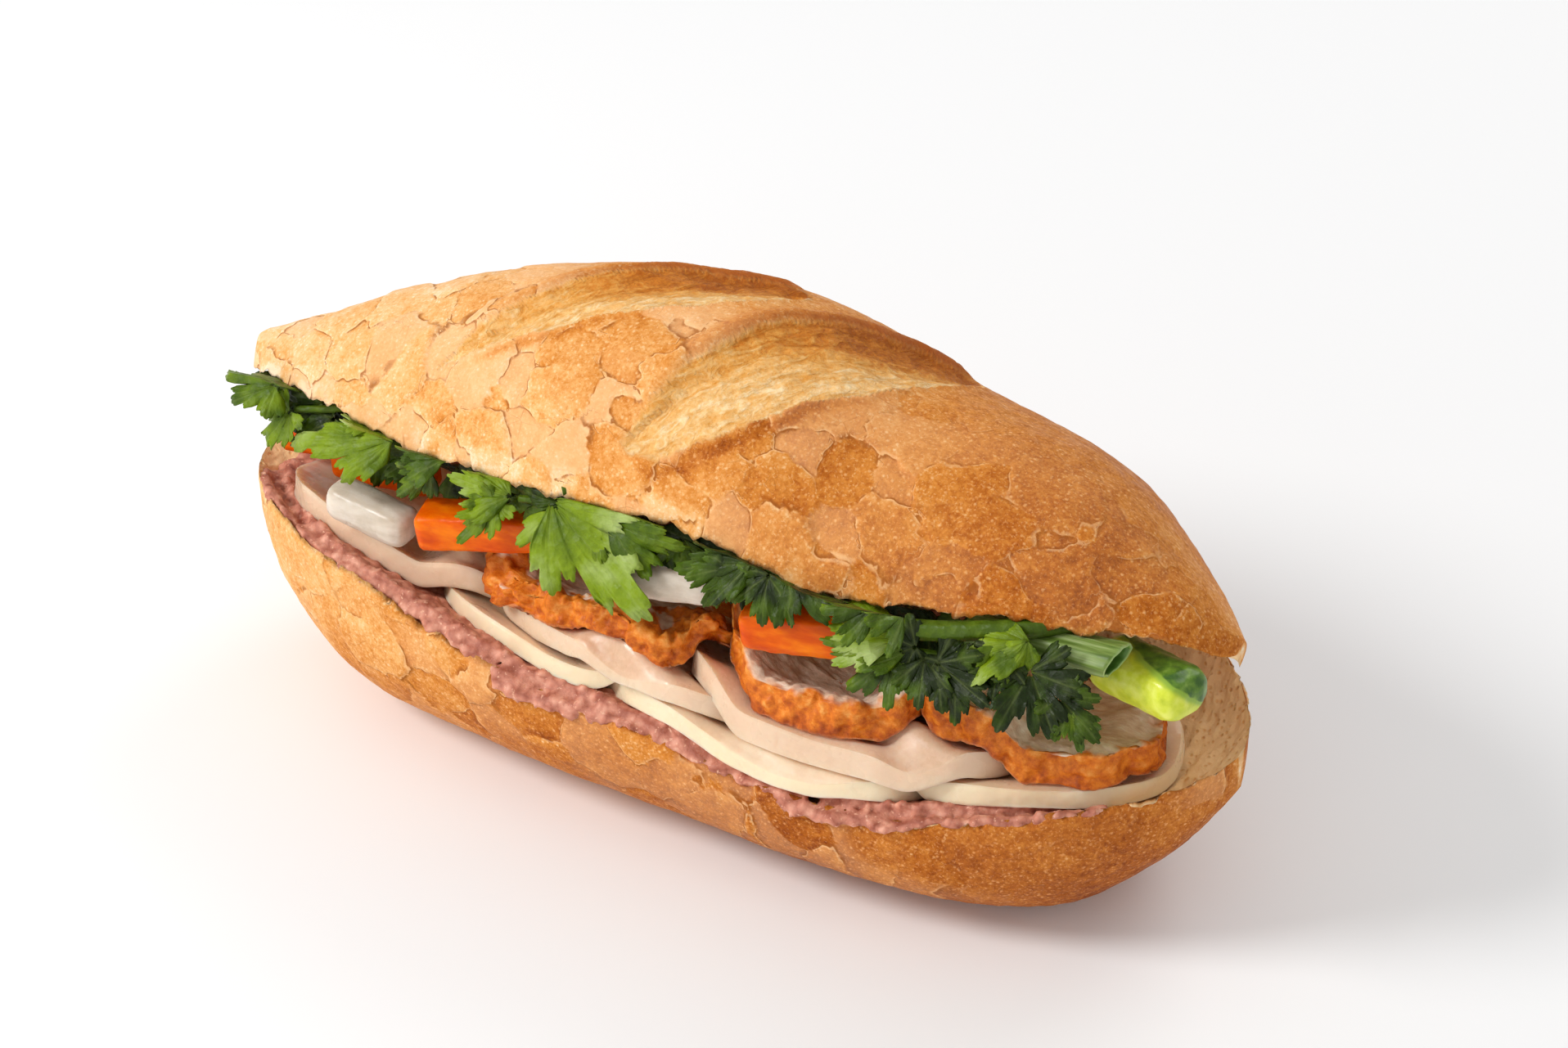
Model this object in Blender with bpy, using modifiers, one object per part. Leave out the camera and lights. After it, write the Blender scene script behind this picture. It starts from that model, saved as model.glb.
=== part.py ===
"""A banh mi sandwich: a crusty roll cut open at its side, with pate, cold cuts, roast pork, pickles, herbs.

X runs along the roll, -Y is the open front and +Z is up. The sandwich stands on the roll's flat base, and the
origin is the middle of its box there. Every filling lies on what is under it, with a small gap to it.
"""

import math

import bmesh
import bpy
import numpy as np
from mathutils import Matrix, Vector, noise

MM = 0.001  # the design is worked out in millimetres

# The roll. Each half is lofted from end to end. The lines are (place along the roll, height) in millimetres.
BOTTOM_ENDS = (-112.5, 110.5)
BOTTOM_HALF_WIDTH = 43.0
BOTTOM_TAPER = ((3.2, 0.6), (3.2, 0.62))  # bluntness and power of the outline in plan, to -X and to +X
BOTTOM_FRONT_RIM = [(-112.5, 42), (-98, 45), (-75, 43), (-50, 38.5), (-25, 33), (0, 31.5), (25, 28),
                    (50, 28.5), (75, 34), (97, 39), (110.5, 42)]
BOTTOM_BACK_RIM = [(-112.5, 42), (-85, 44), (-45, 46), (0, 47), (45, 46), (85, 45), (110.5, 43)]
BASIN_DEPTH = 11.5  # how far the crumb is pressed in below the rim
BASE_LIFT_FROM = 0.5  # share of the half length past which the underside curves up

TOP_ENDS = (-115.0, 109.0)
TOP_HALF_WIDTH = 38.5
TOP_TAPER = ((1.7, 0.75), (2.2, 0.62))
TOP_DOME = [(-115, 6), (-100, 16), (-80, 29.5), (-55, 38.5), (-25, 41.5), (5, 40), (35, 36.5), (60, 34.5),
            (80, 27), (97, 14), (109, 4)]  # height of the crust over the cut face
TOP_FRONT_EDGE = [(-115, 61), (-100, 67), (-75, 69), (-50, 71.5), (-25, 75), (0, 77), (20, 75), (37, 72),
                  (55, 73), (75, 75), (97, 73), (109, 66)]
TOP_BACK_GAPE = [(-115, 19), (-85, 5), (-60, 0.4), (60, 0.4), (85, 8), (109, 21)]  # over the lower cut face
CROWN_CAVE = 3.0  # how far the top half's cut face is pressed in

BOTTOM_TIP_LEAN, TOP_TIP_LEAN = 5.0, 9.0  # how far the tips come forward of the middle
GAP = 0.4  # between any two pieces

# The two baker's cuts over the crown: their ends in plan, and how wide and deep the crust opened.
CUTS = [((-60.0, -20.0), (2.0, 21.0)), ((-10.0, -31.0), (38.0, 27.0))]
CUT_HALF_WIDTH = 9.0
CUT_DEPTH = 2.2

PATE_ENDS = (-106.0, 92.0)
PATE_TAPER = ((6.0, 0.5), (6.0, 0.5))
PATE_THICKNESS = 2.2
PATE_LUMPS = 0.8

# Cold cuts, in the order they were laid: middle in plan, half length, half width, turn in degrees, thickness.
SLICES = {
    "ham_slice_middle": ((20.0, -24.0), 38.0, 20.5, -4.0, 3.8),
    "ham_slice_right": ((71.5, -13.5), 28.0, 20.0, 20.0, 3.8),
    "ham_slice_left": ((-28.0, -20.0), 30.0, 20.0, -11.0, 3.6),
    "pork_roll_left": ((-67.0, -12.5), 32.0, 20.0, -5.0, 4.8),
    "pork_roll_middle": ((-11.0, -20.5), 35.0, 20.5, -13.0, 4.2),
    "pork_roll_right": ((37.5, -20.0), 35.0, 22.5, 4.0, 5.6),
}
# Roast pork, in the same terms.
ROASTS = {
    "roast_pork_left": ((-16.0, -21.5), 31.0, 18.0, -9.0, 5.5),
    "roast_pork_middle": ((33.5, -23.5), 21.5, 18.0, 5.0, 7.5),
    "roast_pork_right": ((72.5, -14.0), 25.0, 17.5, 13.0, 7.5),
}
BACK_SQUEEZE = 0.45  # how much thinner a slice is pressed at its back than at its front
SIDE_SLOPE = 1.2  # how far in a slice's upper edge is from its lower edge
# Pickled batons and the cucumber spear: middle in plan, length, width, height, turn, tilt, rounding of edges.
BATONS = {
    "carrot_left": ((-38.0, -30.5), 35.0, 9.5, 8.0, 14.0, 8.0, 1.4),
    "carrot_right": ((33.5, -33.5), 28.0, 10.5, 9.0, 12.0, 5.0, 2.4),
    "carrot_back": ((-77.0, -15.5), 23.0, 8.0, 7.5, 4.0, 3.0, 1.4),
    "carrot_end": ((-99.0, -10.0), 13.0, 7.5, 6.5, 4.0, 6.0, 1.4),
    "daikon_left": ((-70.0, -31.5), 20.0, 8.5, 8.0, -3.0, -6.0, 2.6),
    "daikon_right": ((0.5, -36.5), 25.0, 8.5, 7.5, 12.0, 4.0, 2.6),
    "daikon_back": ((-6.0, -23.0), 20.0, 6.0, 6.0, 14.0, 4.0, 1.8),
    "cucumber": ((96.0, -18.6), 23.0, 12.0, 9.5, -18.0, 6.0, 3.4),
}
CUCUMBER_PROP = 9.5  # the herbs and pickles under the cucumber hold it up by this much
SPRING_ONION_ENDS = ((63.0, -26.5, 67.0), (92.5, -26.0, 70.2))
SPRING_ONION_RADIUS = 3.7
SPRING_ONION_WALL = 0.8
CORIANDER_ENDS = (-108.0, 71.0)
CORIANDER_REACH = 7.0  # how far the bunch goes in and out from the crown's front edge
CORIANDER_DROOP = 8.0  # how far its front hangs down
CORIANDER_THICKNESS = 11.0
CORIANDER_LEAST = 0.8  # its thickness where there is no room

COLOURS = {
    "crust": (0.62, 0.33, 0.11, 1.0),
    "pate": (0.50, 0.26, 0.22, 1.0),
    "ham": (0.84, 0.74, 0.56, 1.0),
    "pork_roll": (0.74, 0.60, 0.50, 1.0),
    "roast_pork": (0.60, 0.22, 0.06, 1.0),
    "carrot": (0.90, 0.30, 0.02, 1.0),
    "daikon": (0.80, 0.77, 0.72, 1.0),
    "cucumber": (0.35, 0.55, 0.08, 1.0),
    "spring_onion": (0.12, 0.32, 0.06, 1.0),
    "coriander": (0.06, 0.24, 0.03, 1.0),
}


def smooth_line(points):
    """A function of x through the points, by a cubic that doesn't overshoot between them."""
    xs, ys = (np.array(c, float) for c in zip(*points))
    steps = np.diff(ys) / np.diff(xs)
    slopes = np.zeros(len(xs))
    slopes[0], slopes[-1] = steps[0], steps[-1]
    for i in range(1, len(xs) - 1):
        if steps[i - 1] * steps[i] > 0:
            slopes[i] = 2 * steps[i - 1] * steps[i] / (steps[i - 1] + steps[i])

    def value(x):
        x = np.clip(x, xs[0], xs[-1])
        i = np.clip(np.searchsorted(xs, x) - 1, 0, len(xs) - 2)
        width = xs[i + 1] - xs[i]
        u = (x - xs[i]) / width
        return (
            ys[i] * (1 + 2 * u) * (1 - u) ** 2
            + ys[i + 1] * (3 - 2 * u) * u**2
            + width * u * (1 - u) * (slopes[i] * (1 - u) - slopes[i + 1] * u)
        )

    return value


bottom_front_rim = smooth_line(BOTTOM_FRONT_RIM)
bottom_back_rim = smooth_line(BOTTOM_BACK_RIM)
top_front_edge = smooth_line(TOP_FRONT_EDGE)
top_back_gape = smooth_line(TOP_BACK_GAPE)
top_dome = smooth_line(TOP_DOME)


def along(x, ends):
    """Where x is between two ends, from -1 to 1."""
    return (2 * np.asarray(x, float) - ends[0] - ends[1]) / (ends[1] - ends[0])


def taper(t, left, right):
    """A width that is 1 at t = 0 and nothing at t = -1 and 1, by a bluntness and a power for each side."""
    t = np.clip(t, -1, 1)
    sides = [np.maximum(1e-4, 1 - np.abs(t) ** blunt) ** exponent for blunt, exponent in (left, right)]
    return np.where(t < 0, *sides)


def signed_power(value, exponent):
    return np.sign(value) * np.abs(value) ** exponent


def bottom_sides(x):
    """The front and back of the bottom half's rim at x."""
    t = along(x, BOTTOM_ENDS)
    middle = -0.5 - BOTTOM_TIP_LEAN * t**2
    half = BOTTOM_HALF_WIDTH * taper(t, *BOTTOM_TAPER)
    return middle - half, middle + half


def top_sides(x):
    """The front and back of the top half's edge at x."""
    t = along(x, TOP_ENDS)
    middle = 1.5 - TOP_TIP_LEAN * t**2
    half = TOP_HALF_WIDTH * taper(t, *TOP_TAPER)
    return middle - half, middle + half


def basin(x, y):
    """Height of the bottom half's cut face. In front of the rim it goes on, falling away."""
    t = along(x, BOTTOM_ENDS)
    front, back = bottom_sides(x)
    s = np.clip((y - front) / (back - front), 0, 1)
    rim = bottom_front_rim(x) * (1 - s) + bottom_back_rim(x) * s
    pressed = BASIN_DEPTH * (1 - np.abs(2 * s - 1) ** 3.5) * (1 - np.abs(np.clip(t, -1, 1)) ** 8)
    fall = 0.6 * np.maximum(0, front - y)
    return rim - pressed - fall


def top_back_edge(x):
    back = top_sides(x)[1]
    return basin(x, back) + top_back_gape(x)


def crown_underside(x, y):
    """Height of the top half's cut face."""
    t = along(x, TOP_ENDS)
    front, back = top_sides(x)
    s = np.clip((y - front) / (back - front), 0, 1)
    chord = top_front_edge(x) * (1 - s) + top_back_edge(x) * s
    return chord + CROWN_CAVE * np.sin(math.pi * s) * (1 - np.abs(np.clip(t, -1, 1)) ** 6)


def inner_shares(count):
    """Shares of the way across a cut face, closer together near its edges."""
    return (1 - np.cos(np.linspace(0, math.pi, count + 2)[1:-1])) / 2


def bottom_ring(x, outer, inner):
    """A section of the bottom half: the crust from front rim to back rim, then the cut face back again."""
    t = float(along(x, BOTTOM_ENDS))
    front, back = bottom_sides(x)
    middle, half = (front + back) / 2, (back - front) / 2
    lift = max(0.0, (abs(t) - BASE_LIFT_FROM) / (1 - BASE_LIFT_FROM)) ** 2.6
    angles = np.linspace(0, math.pi, outer)
    y = middle - half * 1.03 * signed_power(np.cos(angles), 0.8)
    y[0], y[-1] = front, back
    s = np.clip((y - front) / (back - front), 0, 1)
    rim = bottom_front_rim(x) * (1 - s) + bottom_back_rim(x) * s
    base = 0.8 * min(bottom_front_rim(x), bottom_back_rim(x)) * lift
    drop = np.minimum(1.0, 1.06 * np.sin(angles) ** 0.72)
    z = rim - (rim - base) * drop
    inner_y = back + (front - back) * inner_shares(inner)
    return [(x, *p) for p in zip(np.append(y, inner_y), np.append(z, basin(x, inner_y)))]


def cut_depth(x, y):
    """How far the baker's cuts sink the crown at a point in plan."""
    depth = 0.0
    for start, end in CUTS:
        a, b = Vector(start), Vector(end)
        way = (b - a).normalized()
        at = Vector((x, y)) - a
        u = at.dot(way) / (b - a).length
        if 0 < u < 1:
            width = CUT_HALF_WIDTH * math.sin(math.pi * u) ** 0.6
            side = abs(at.x * way.y - at.y * way.x) / width
            depth = max(depth, CUT_DEPTH * max(0.0, 1 - side**2))
    return depth


def top_ring(x, outer, inner):
    """A section of the top half: the crown from back edge to front edge, then the cut face back."""
    front, back = top_sides(x)
    low, high = Vector((back, top_back_edge(x))), Vector((front, top_front_edge(x)))
    chord = high - low
    up = Vector((chord.y, -chord.x)).normalized()
    dome = float(top_dome(x))
    points = []
    for angle in np.linspace(0, math.pi, outer):
        across = (1 - float(signed_power(math.cos(angle), 0.86))) / 2
        rise = math.sin(angle) ** 0.86 * dome
        p = low + chord * across + up * rise
        p = p - up * cut_depth(x, p.x) * min(1.0, 3 * math.sin(angle))
        points.append((x, p.x, p.y))
    for y in front + (back - front) * inner_shares(inner):
        points.append((x, y, float(crown_underside(x, y))))
    return points


def stations(ends, count):
    """Places along the roll, closer together towards the tips."""
    spread = np.linspace(-1, 1, count)
    t = (0.45 * spread + 0.55 * np.sin(spread * math.pi / 2)) * 0.9985
    return (ends[0] + ends[1]) / 2 + t * (ends[1] - ends[0]) / 2


class Pile:
    """The height of what the fillings lie on, and of the crown above them, over a 1 mm grid in plan."""

    LOW_X, LOW_Y, SIZE_X, SIZE_Y = -130, -62, 261, 125
    OPEN = 200.0  # the height of the crown where there is none overhead
    SAMPLES = [(a / 6, b / 6, (6 - a - b) / 6) for a in range(7) for b in range(7 - a)]

    def __init__(self, bottom, top):
        self.x, self.y = np.meshgrid(
            self.LOW_X + np.arange(self.SIZE_X, dtype=float),
            self.LOW_Y + np.arange(self.SIZE_Y, dtype=float),
            indexing="ij",
        )
        self.floor = basin(self.x, self.y) + GAP
        self.cover(*bottom)
        points, triangles = top
        self.roof = -self.heights([(x, y, -z) for x, y, z in points], triangles) - GAP

    def read(self, heights, x, y):
        """A height between the grid's points."""
        u = min(max(x - self.LOW_X, 0), self.SIZE_X - 1.001)
        v = min(max(y - self.LOW_Y, 0), self.SIZE_Y - 1.001)
        i, j = int(u), int(v)
        a, b = u - i, v - j
        low = heights[i, j] * (1 - b) + heights[i, j + 1] * b
        high = heights[i + 1, j] * (1 - b) + heights[i + 1, j + 1] * b
        return float(low * (1 - a) + high * a)

    def settle(self, plan, triangles):
        """The lowest heights at which a skin of these triangles clears the floor everywhere."""
        heights = [self.read(self.floor, x, y) for x, y in plan]
        for _ in range(6):
            for corners in triangles:
                for weights in self.SAMPLES:
                    x, y = (sum(w * plan[c][k] for w, c in zip(weights, corners)) for k in range(2))
                    here = sum(w * heights[c] for w, c in zip(weights, corners))
                    short = self.read(self.floor, x, y) - here
                    if short > 0:
                        share = short / sum(w * w for w in weights)
                        for w, c in zip(weights, corners):
                            heights[c] += share * w
        return heights

    def heights(self, points, triangles):
        """The top of these triangles over the grid, and 1 mm around them. Elsewhere it is far down."""
        top = np.full(self.x.shape, -self.OPEN)
        for corners in triangles:
            a, b, c = (np.array(points[k]) for k in corners)
            area = (b[0] - a[0]) * (c[1] - a[1]) - (c[0] - a[0]) * (b[1] - a[1])
            if abs(area) < 1e-6:
                continue
            low, high = np.minimum.reduce([a, b, c]), np.maximum.reduce([a, b, c])
            i = slice(max(0, int(low[0]) - self.LOW_X - 2), max(0, int(high[0]) - self.LOW_X + 3))
            j = slice(max(0, int(low[1]) - self.LOW_Y - 2), max(0, int(high[1]) - self.LOW_Y + 3))
            x, y = self.x[i, j], self.y[i, j]
            v = ((x - a[0]) * (c[1] - a[1]) - (c[0] - a[0]) * (y - a[1])) / area
            w = ((b[0] - a[0]) * (y - a[1]) - (x - a[0]) * (b[1] - a[1])) / area
            inside = (v > -0.02) & (w > -0.02) & (v + w < 1.02)
            plane = a[2] + v * (b[2] - a[2]) + w * (c[2] - a[2])
            top[i, j] = np.where(inside, np.maximum(top[i, j], plane), top[i, j])
        return spread(top, 1, 1)

    def cover(self, points, triangles):
        """Raises the floor to a gap over these triangles."""
        self.floor = np.maximum(self.floor, self.heights(points, triangles) + GAP)


def spread(heights, reach_x, reach_y):
    """The highest of each point's neighbours in a small window."""
    wide = np.pad(heights, ((reach_x, reach_x), (reach_y, reach_y)), mode="edge")
    rows, columns = heights.shape
    shifts = [(a, b) for a in range(2 * reach_x + 1) for b in range(2 * reach_y + 1)]
    return np.maximum.reduce([wide[a : a + rows, b : b + columns] for a, b in shifts])


def make_material(name):
    material = bpy.data.materials.new(name)
    material.use_nodes = True
    shader = material.node_tree.nodes["Principled BSDF"]
    shader.inputs["Base Color"].default_value = COLOURS[name]
    shader.inputs["Roughness"].default_value = 0.6
    shader.inputs["Metallic"].default_value = 0.0
    material.diffuse_color = COLOURS[name]
    return material


def add_solid(name, points, faces, material, collection):
    """A closed mesh, from points in millimetres, with its faces turned out."""
    mesh = bpy.data.meshes.new(name)
    mesh.from_pydata([[c * MM for c in p] for p in points], [], faces)
    bm = bmesh.new()
    bm.from_mesh(mesh)
    bmesh.ops.recalc_face_normals(bm, faces=bm.faces)
    bm.to_mesh(mesh)
    bm.free()
    mesh.materials.append(material)
    mesh.shade_smooth()
    mesh.set_sharp_from_angle(angle=math.radians(40))
    obj = bpy.data.objects.new(name, mesh)
    collection.objects.link(obj)


def loft(rings):
    """Points and faces of a closed skin through rings of equal count, with a fan at each end."""
    count = len(rings[0])
    points = [p for ring in rings for p in ring]
    faces = []
    for i in range(len(rings) - 1):
        for j in range(count):
            k = (j + 1) % count
            faces.append((i * count + j, i * count + k, (i + 1) * count + k, (i + 1) * count + j))
    for start in (0, (len(rings) - 1) * count):
        points.append(tuple(np.mean(points[start : start + count], axis=0)))
        faces += [(start + j, start + (j + 1) % count, len(points) - 1) for j in range(count)]
    return points, faces


def add_bread(name, rings, material, collection):
    """Half of the roll. Returns its points and its faces as triangles, with each face split both ways."""
    points, faces = loft(rings)
    add_solid(name, points, faces, material, collection)
    return points, [corners for f in faces for corners in (f[:3], (f[0], *f[-2:]), (*f[:2], f[-1]), f[-3:])]


def grid_triangles(rows, columns):
    """Triangles between points that lie in rows."""
    triangles = []
    for i in range(rows - 1):
        for j in range(columns - 1):
            a, b = i * columns + j, (i + 1) * columns + j
            triangles += [(a, b, b + 1), (a, b + 1, a + 1)]
    return triangles


def disc_triangles(spokes, rings):
    """Triangles between points on rings, with the middle point last."""
    triangles = []
    for j in range(spokes):
        k = (j + 1) % spokes
        triangles.append((spokes * rings, j, k))
        for i in range(rings - 1):
            a, b = i * spokes, (i + 1) * spokes
            triangles += [(a + j, b + j, b + k), (a + j, b + k, a + k)]
    return triangles


def close(lower, upper, triangles, rim):
    """Points and faces of the solid between two sheets of the same triangles, with a side along the rim."""
    count = len(lower)
    top = [tuple(count + c for c in corners) for corners in triangles]
    for a, b in zip(rim, rim[1:] + rim[:1]):
        top += [(a, b, count + b), (a, count + b, count + a)]
    return lower + upper, list(triangles) + top


def add_layer(pile, name, plan, triangles, rim, thickness, material, collection, upper_plan=None):
    """A solid that is settled on the pile, with its thickness at each point."""
    lower = [(x, y, z) for (x, y), z in zip(plan, pile.settle(plan, triangles))]
    upper = [(x, y, low[2] + thick) for (x, y), low, thick in zip(upper_plan or plan, lower, thickness)]
    points, faces = close(lower, upper, triangles, rim)
    pile.cover(points, faces)
    add_solid(name, points, faces, material, collection)


def add_slice(pile, name, shape, material, collection, rough=0.0, spokes=28):
    """A slice with an oval outline, draped over what is under it."""
    middle, half_length, half_width, turn, thickness = shape
    c, s = math.cos(math.radians(turn)), math.sin(math.radians(turn))
    shares = (0.35, 0.65, 0.87, 1.0)

    def outline(inset):
        points = []
        for share in shares:
            for j in range(spokes):
                angle = 2 * math.pi * j / spokes
                way = Vector((math.cos(angle), math.sin(angle), middle[0]))
                swell = share * (1 + rough * share**2 * noise.noise(way * 2.3))
                u = (half_length - inset) * swell * float(signed_power(way.x, 0.75))
                v = (half_width - inset) * swell * float(signed_power(way.y, 0.75))
                points.append((middle[0] + u * c - v * s, middle[1] + u * s + v * c))
        return points + [middle]

    plan = outline(0.0)
    back = [min(1.0, max(0.0, (y - middle[1] + half_width) / (2 * half_width))) for _, y in plan]
    thick = [thickness * (1 - BACK_SQUEEZE * b) for b in back]
    rim = list(range((len(shares) - 1) * spokes, len(shares) * spokes))
    triangles = disc_triangles(spokes, len(shares))
    add_layer(pile, name, plan, triangles, rim, thick, material, collection, outline(SIDE_SLOPE))


def border(rows, columns):
    """The places round the edge of a list of points that lie in rows."""
    count = rows * columns
    there = [*range(columns), *range(2 * columns - 1, count, columns)]
    back = [*range(count - 2, count - columns - 1, -1), *range(count - 2 * columns, 0, -columns)]
    return there + back


def add_pate(pile, material, collection, rows=27, columns=7):
    """The pate, spread over the cut face from the front rim back, and a little lumpy."""
    plan, thick = [], []
    for x in stations(PATE_ENDS, rows):
        near, far = bottom_sides(x)
        thin = float(taper(along(x, PATE_ENDS), *PATE_TAPER))
        middle, half = (near + far) / 2, (far - near) / 2 * (0.35 + 0.65 * thin)
        for y in np.linspace(middle - 0.965 * half, middle + 0.635 * half, columns):
            plan.append((float(x), float(y)))
            lump = PATE_LUMPS * noise.noise(Vector((x / 9, y / 9, 0.0)))
            thick.append((PATE_THICKNESS + lump) * (0.6 + 0.4 * thin))
    triangles = grid_triangles(rows, columns)
    add_layer(pile, "pate", plan, triangles, border(rows, columns), thick, material, collection)


def add_baton(pile, name, shape, material, collection, prop=0.0):
    """A stiff piece with rounded edges, set down at its tilt on the first thing that it meets."""
    middle, length, width, height, turn, tilt, rounding = shape
    spin = Matrix.Rotation(math.radians(turn), 3, "Z") @ Matrix.Rotation(-math.radians(tilt), 3, "Y")
    slope = math.tan(math.radians(tilt))
    c, s = math.cos(math.radians(turn)), math.sin(math.radians(turn))
    u = (pile.x - middle[0]) * c + (pile.y - middle[1]) * s
    v = (pile.y - middle[1]) * c - (pile.x - middle[0]) * s
    under = (np.abs(u) < length / 2 + 1) & (np.abs(v) < width / 2 + 1)
    base = float((pile.floor - u * slope)[under].max()) + prop
    at = Vector((*middle, base)) + spin @ Vector((0, 0, height / 2))
    bpy.ops.mesh.primitive_cube_add(size=1)
    obj = bpy.context.object
    obj.name = obj.data.name = name
    obj.data.transform(Matrix.Diagonal((length * MM, width * MM, height * MM, 1)))
    obj.location = at * MM
    obj.rotation_euler = spin.to_euler()
    bevel = obj.modifiers.new("rounding", "BEVEL")
    bevel.width = rounding * MM
    bevel.segments = 2
    obj.data.materials.append(material)
    for owner in list(obj.users_collection):
        owner.objects.unlink(obj)
    collection.objects.link(obj)
    corners = [at + spin @ Vector((a * length, b * width, height)) / 2 for a in (-1, 1) for b in (-1, 1)]
    pile.cover(corners, [(0, 1, 2), (1, 2, 3)])


def add_spring_onion(pile, material, collection, sides=12, places=7):
    """A hollow tube, pushed in close under the crown's front edge."""
    start, end = (Vector(p) for p in SPRING_ONION_ENDS)
    way = end - start
    across = Vector((-way.y, way.x, 0)).normalized()
    up = way.cross(across).normalized()
    up = up if up.z > 0 else -up
    order = np.linspace(0, 1, places)
    inner_radius = SPRING_ONION_RADIUS - SPRING_ONION_WALL
    points = []
    for radius, shares in ((SPRING_ONION_RADIUS, order), (inner_radius, order[::-1])):
        for share in shares:
            for k in range(sides):
                angle = 2 * math.pi * k / sides
                turned = across * math.cos(angle) + up * math.sin(angle)
                points.append(tuple(start + way * float(share) + turned * radius))
    faces = []
    for i in range(2 * places):
        a, b = i * sides, (i + 1) % (2 * places) * sides
        faces += [(a + j, a + (j + 1) % sides, b + (j + 1) % sides, b + j) for j in range(sides)]
    add_solid("spring_onion", points, faces, material, collection)
    flat = Vector((way.x, way.y)).length
    u = ((pile.x - start.x) * way.x + (pile.y - start.y) * way.y) / flat**2
    v = (pile.x - start.x) * across.x + (pile.y - start.y) * across.y
    near = (u > -0.05) & (u < 1.05) & (np.abs(v) < SPRING_ONION_RADIUS + 1)
    line = start.z + way.z * np.clip(u, 0, 1)
    pile.roof = np.where(near, np.minimum(pile.roof, line - SPRING_ONION_RADIUS - GAP), pile.roof)


def add_coriander(pile, material, collection, rows=37, columns=7):
    """The bunch of coriander, which fills the room under the crown and spills out along the front."""
    floor, roof = spread(pile.floor, 5, 2), -spread(-pile.roof, 5, 2)
    lower, upper = [], []
    for x in np.linspace(*CORIANDER_ENDS, rows):
        near, edge = float(top_sides(x)[0]), float(top_front_edge(x)) - 1.0
        for share in np.linspace(-1, 1, columns):
            y = near + 1.5 + CORIANDER_REACH * share
            low, over = pile.read(floor, x, y), min(pile.read(roof, x, y), edge)
            droop = CORIANDER_DROOP * max(0.0, -share) ** 2 + noise.noise(Vector((x / 9, share, 0)))
            high = max(low + CORIANDER_LEAST, over - GAP - droop)
            lower.append((float(x), y, max(low, high - CORIANDER_THICKNESS)))
            upper.append((float(x), y, high))
    points, faces = close(lower, upper, grid_triangles(rows, columns), border(rows, columns))
    add_solid("coriander", points, faces, material, collection)


def centre(objects):
    """Moves everything so that the origin is the middle of the box."""
    bpy.context.view_layer.update()
    corners = [obj.matrix_world @ Vector(corner) for obj in objects for corner in obj.bound_box]
    middle = [(max(p[k] for p in corners) + min(p[k] for p in corners)) / 2 for k in range(2)]
    for obj in objects:
        obj.location.x -= middle[0]
        obj.location.y -= middle[1]


def main():
    for obj in list(bpy.data.objects):
        bpy.data.objects.remove(obj)
    collection = bpy.data.collections.new("banh_mi")
    bpy.context.scene.collection.children.link(collection)
    materials = {name: make_material(name) for name in COLOURS}
    bottom = [bottom_ring(x, 17, 7) for x in stations(BOTTOM_ENDS, 27)]
    bottom = add_bread("bread_bottom", bottom, materials["crust"], collection)
    top = [top_ring(x, 19, 5) for x in stations(TOP_ENDS, 31)]
    top = add_bread("bread_top", top, materials["crust"], collection)
    pile = Pile(bottom, top)
    add_pate(pile, materials["pate"], collection)
    for name, shape in SLICES.items():
        kind = "ham" if name.startswith("ham") else "pork_roll"
        add_slice(pile, name, shape, materials[kind], collection)
    for name, shape in ROASTS.items():
        add_slice(pile, name, shape, materials["roast_pork"], collection, rough=0.16)
    for name, shape in BATONS.items():
        prop = CUCUMBER_PROP if name == "cucumber" else 0.0
        add_baton(pile, name, shape, materials[name.split("_")[0]], collection, prop)
    add_spring_onion(pile, materials["spring_onion"], collection)
    add_coriander(pile, materials["coriander"], collection)
    centre(list(collection.objects))


main()
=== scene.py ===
"""Looks of the banh mi sandwich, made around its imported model. Lengths are in millimetres unless said."""
import itertools
import math

import bmesh
import bpy
import numpy as np
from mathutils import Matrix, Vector
from mathutils.bvhtree import BVHTree


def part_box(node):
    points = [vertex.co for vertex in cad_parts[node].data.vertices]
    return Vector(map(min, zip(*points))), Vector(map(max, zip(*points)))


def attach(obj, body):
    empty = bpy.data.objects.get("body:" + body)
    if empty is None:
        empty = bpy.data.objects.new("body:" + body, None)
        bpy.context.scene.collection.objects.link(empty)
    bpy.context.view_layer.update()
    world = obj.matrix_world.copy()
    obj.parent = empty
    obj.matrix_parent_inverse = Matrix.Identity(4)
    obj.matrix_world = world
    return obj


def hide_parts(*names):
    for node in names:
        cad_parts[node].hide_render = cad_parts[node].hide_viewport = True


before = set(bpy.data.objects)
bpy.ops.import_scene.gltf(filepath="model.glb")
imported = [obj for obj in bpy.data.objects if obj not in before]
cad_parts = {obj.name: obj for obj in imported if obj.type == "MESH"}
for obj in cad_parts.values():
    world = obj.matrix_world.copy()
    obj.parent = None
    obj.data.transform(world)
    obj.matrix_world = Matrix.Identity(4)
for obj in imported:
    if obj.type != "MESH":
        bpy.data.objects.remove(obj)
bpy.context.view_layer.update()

MM = 0.001


# ---------------------------------------------------------------- the roll's shape, as in the CAD model
BOTTOM_ENDS, TOP_ENDS = (-112.5, 110.5), (-115.0, 109.0)
BASIN_DEPTH, CROWN_CAVE = 11.5, 3.0
SIDE_SWELL, BASE_LIFT_FROM = 1.03, 0.5
# How the crust is curved round each half.
DOME_POWER, SIDE_POWER, UNDER_POWER = 0.86, 0.8, 0.72
# How much of the roll's length the rows of points cover, and a height that all of the cuts are above.
ROWS_REACH, CUTS_FROM = 0.9985, 60

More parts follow.
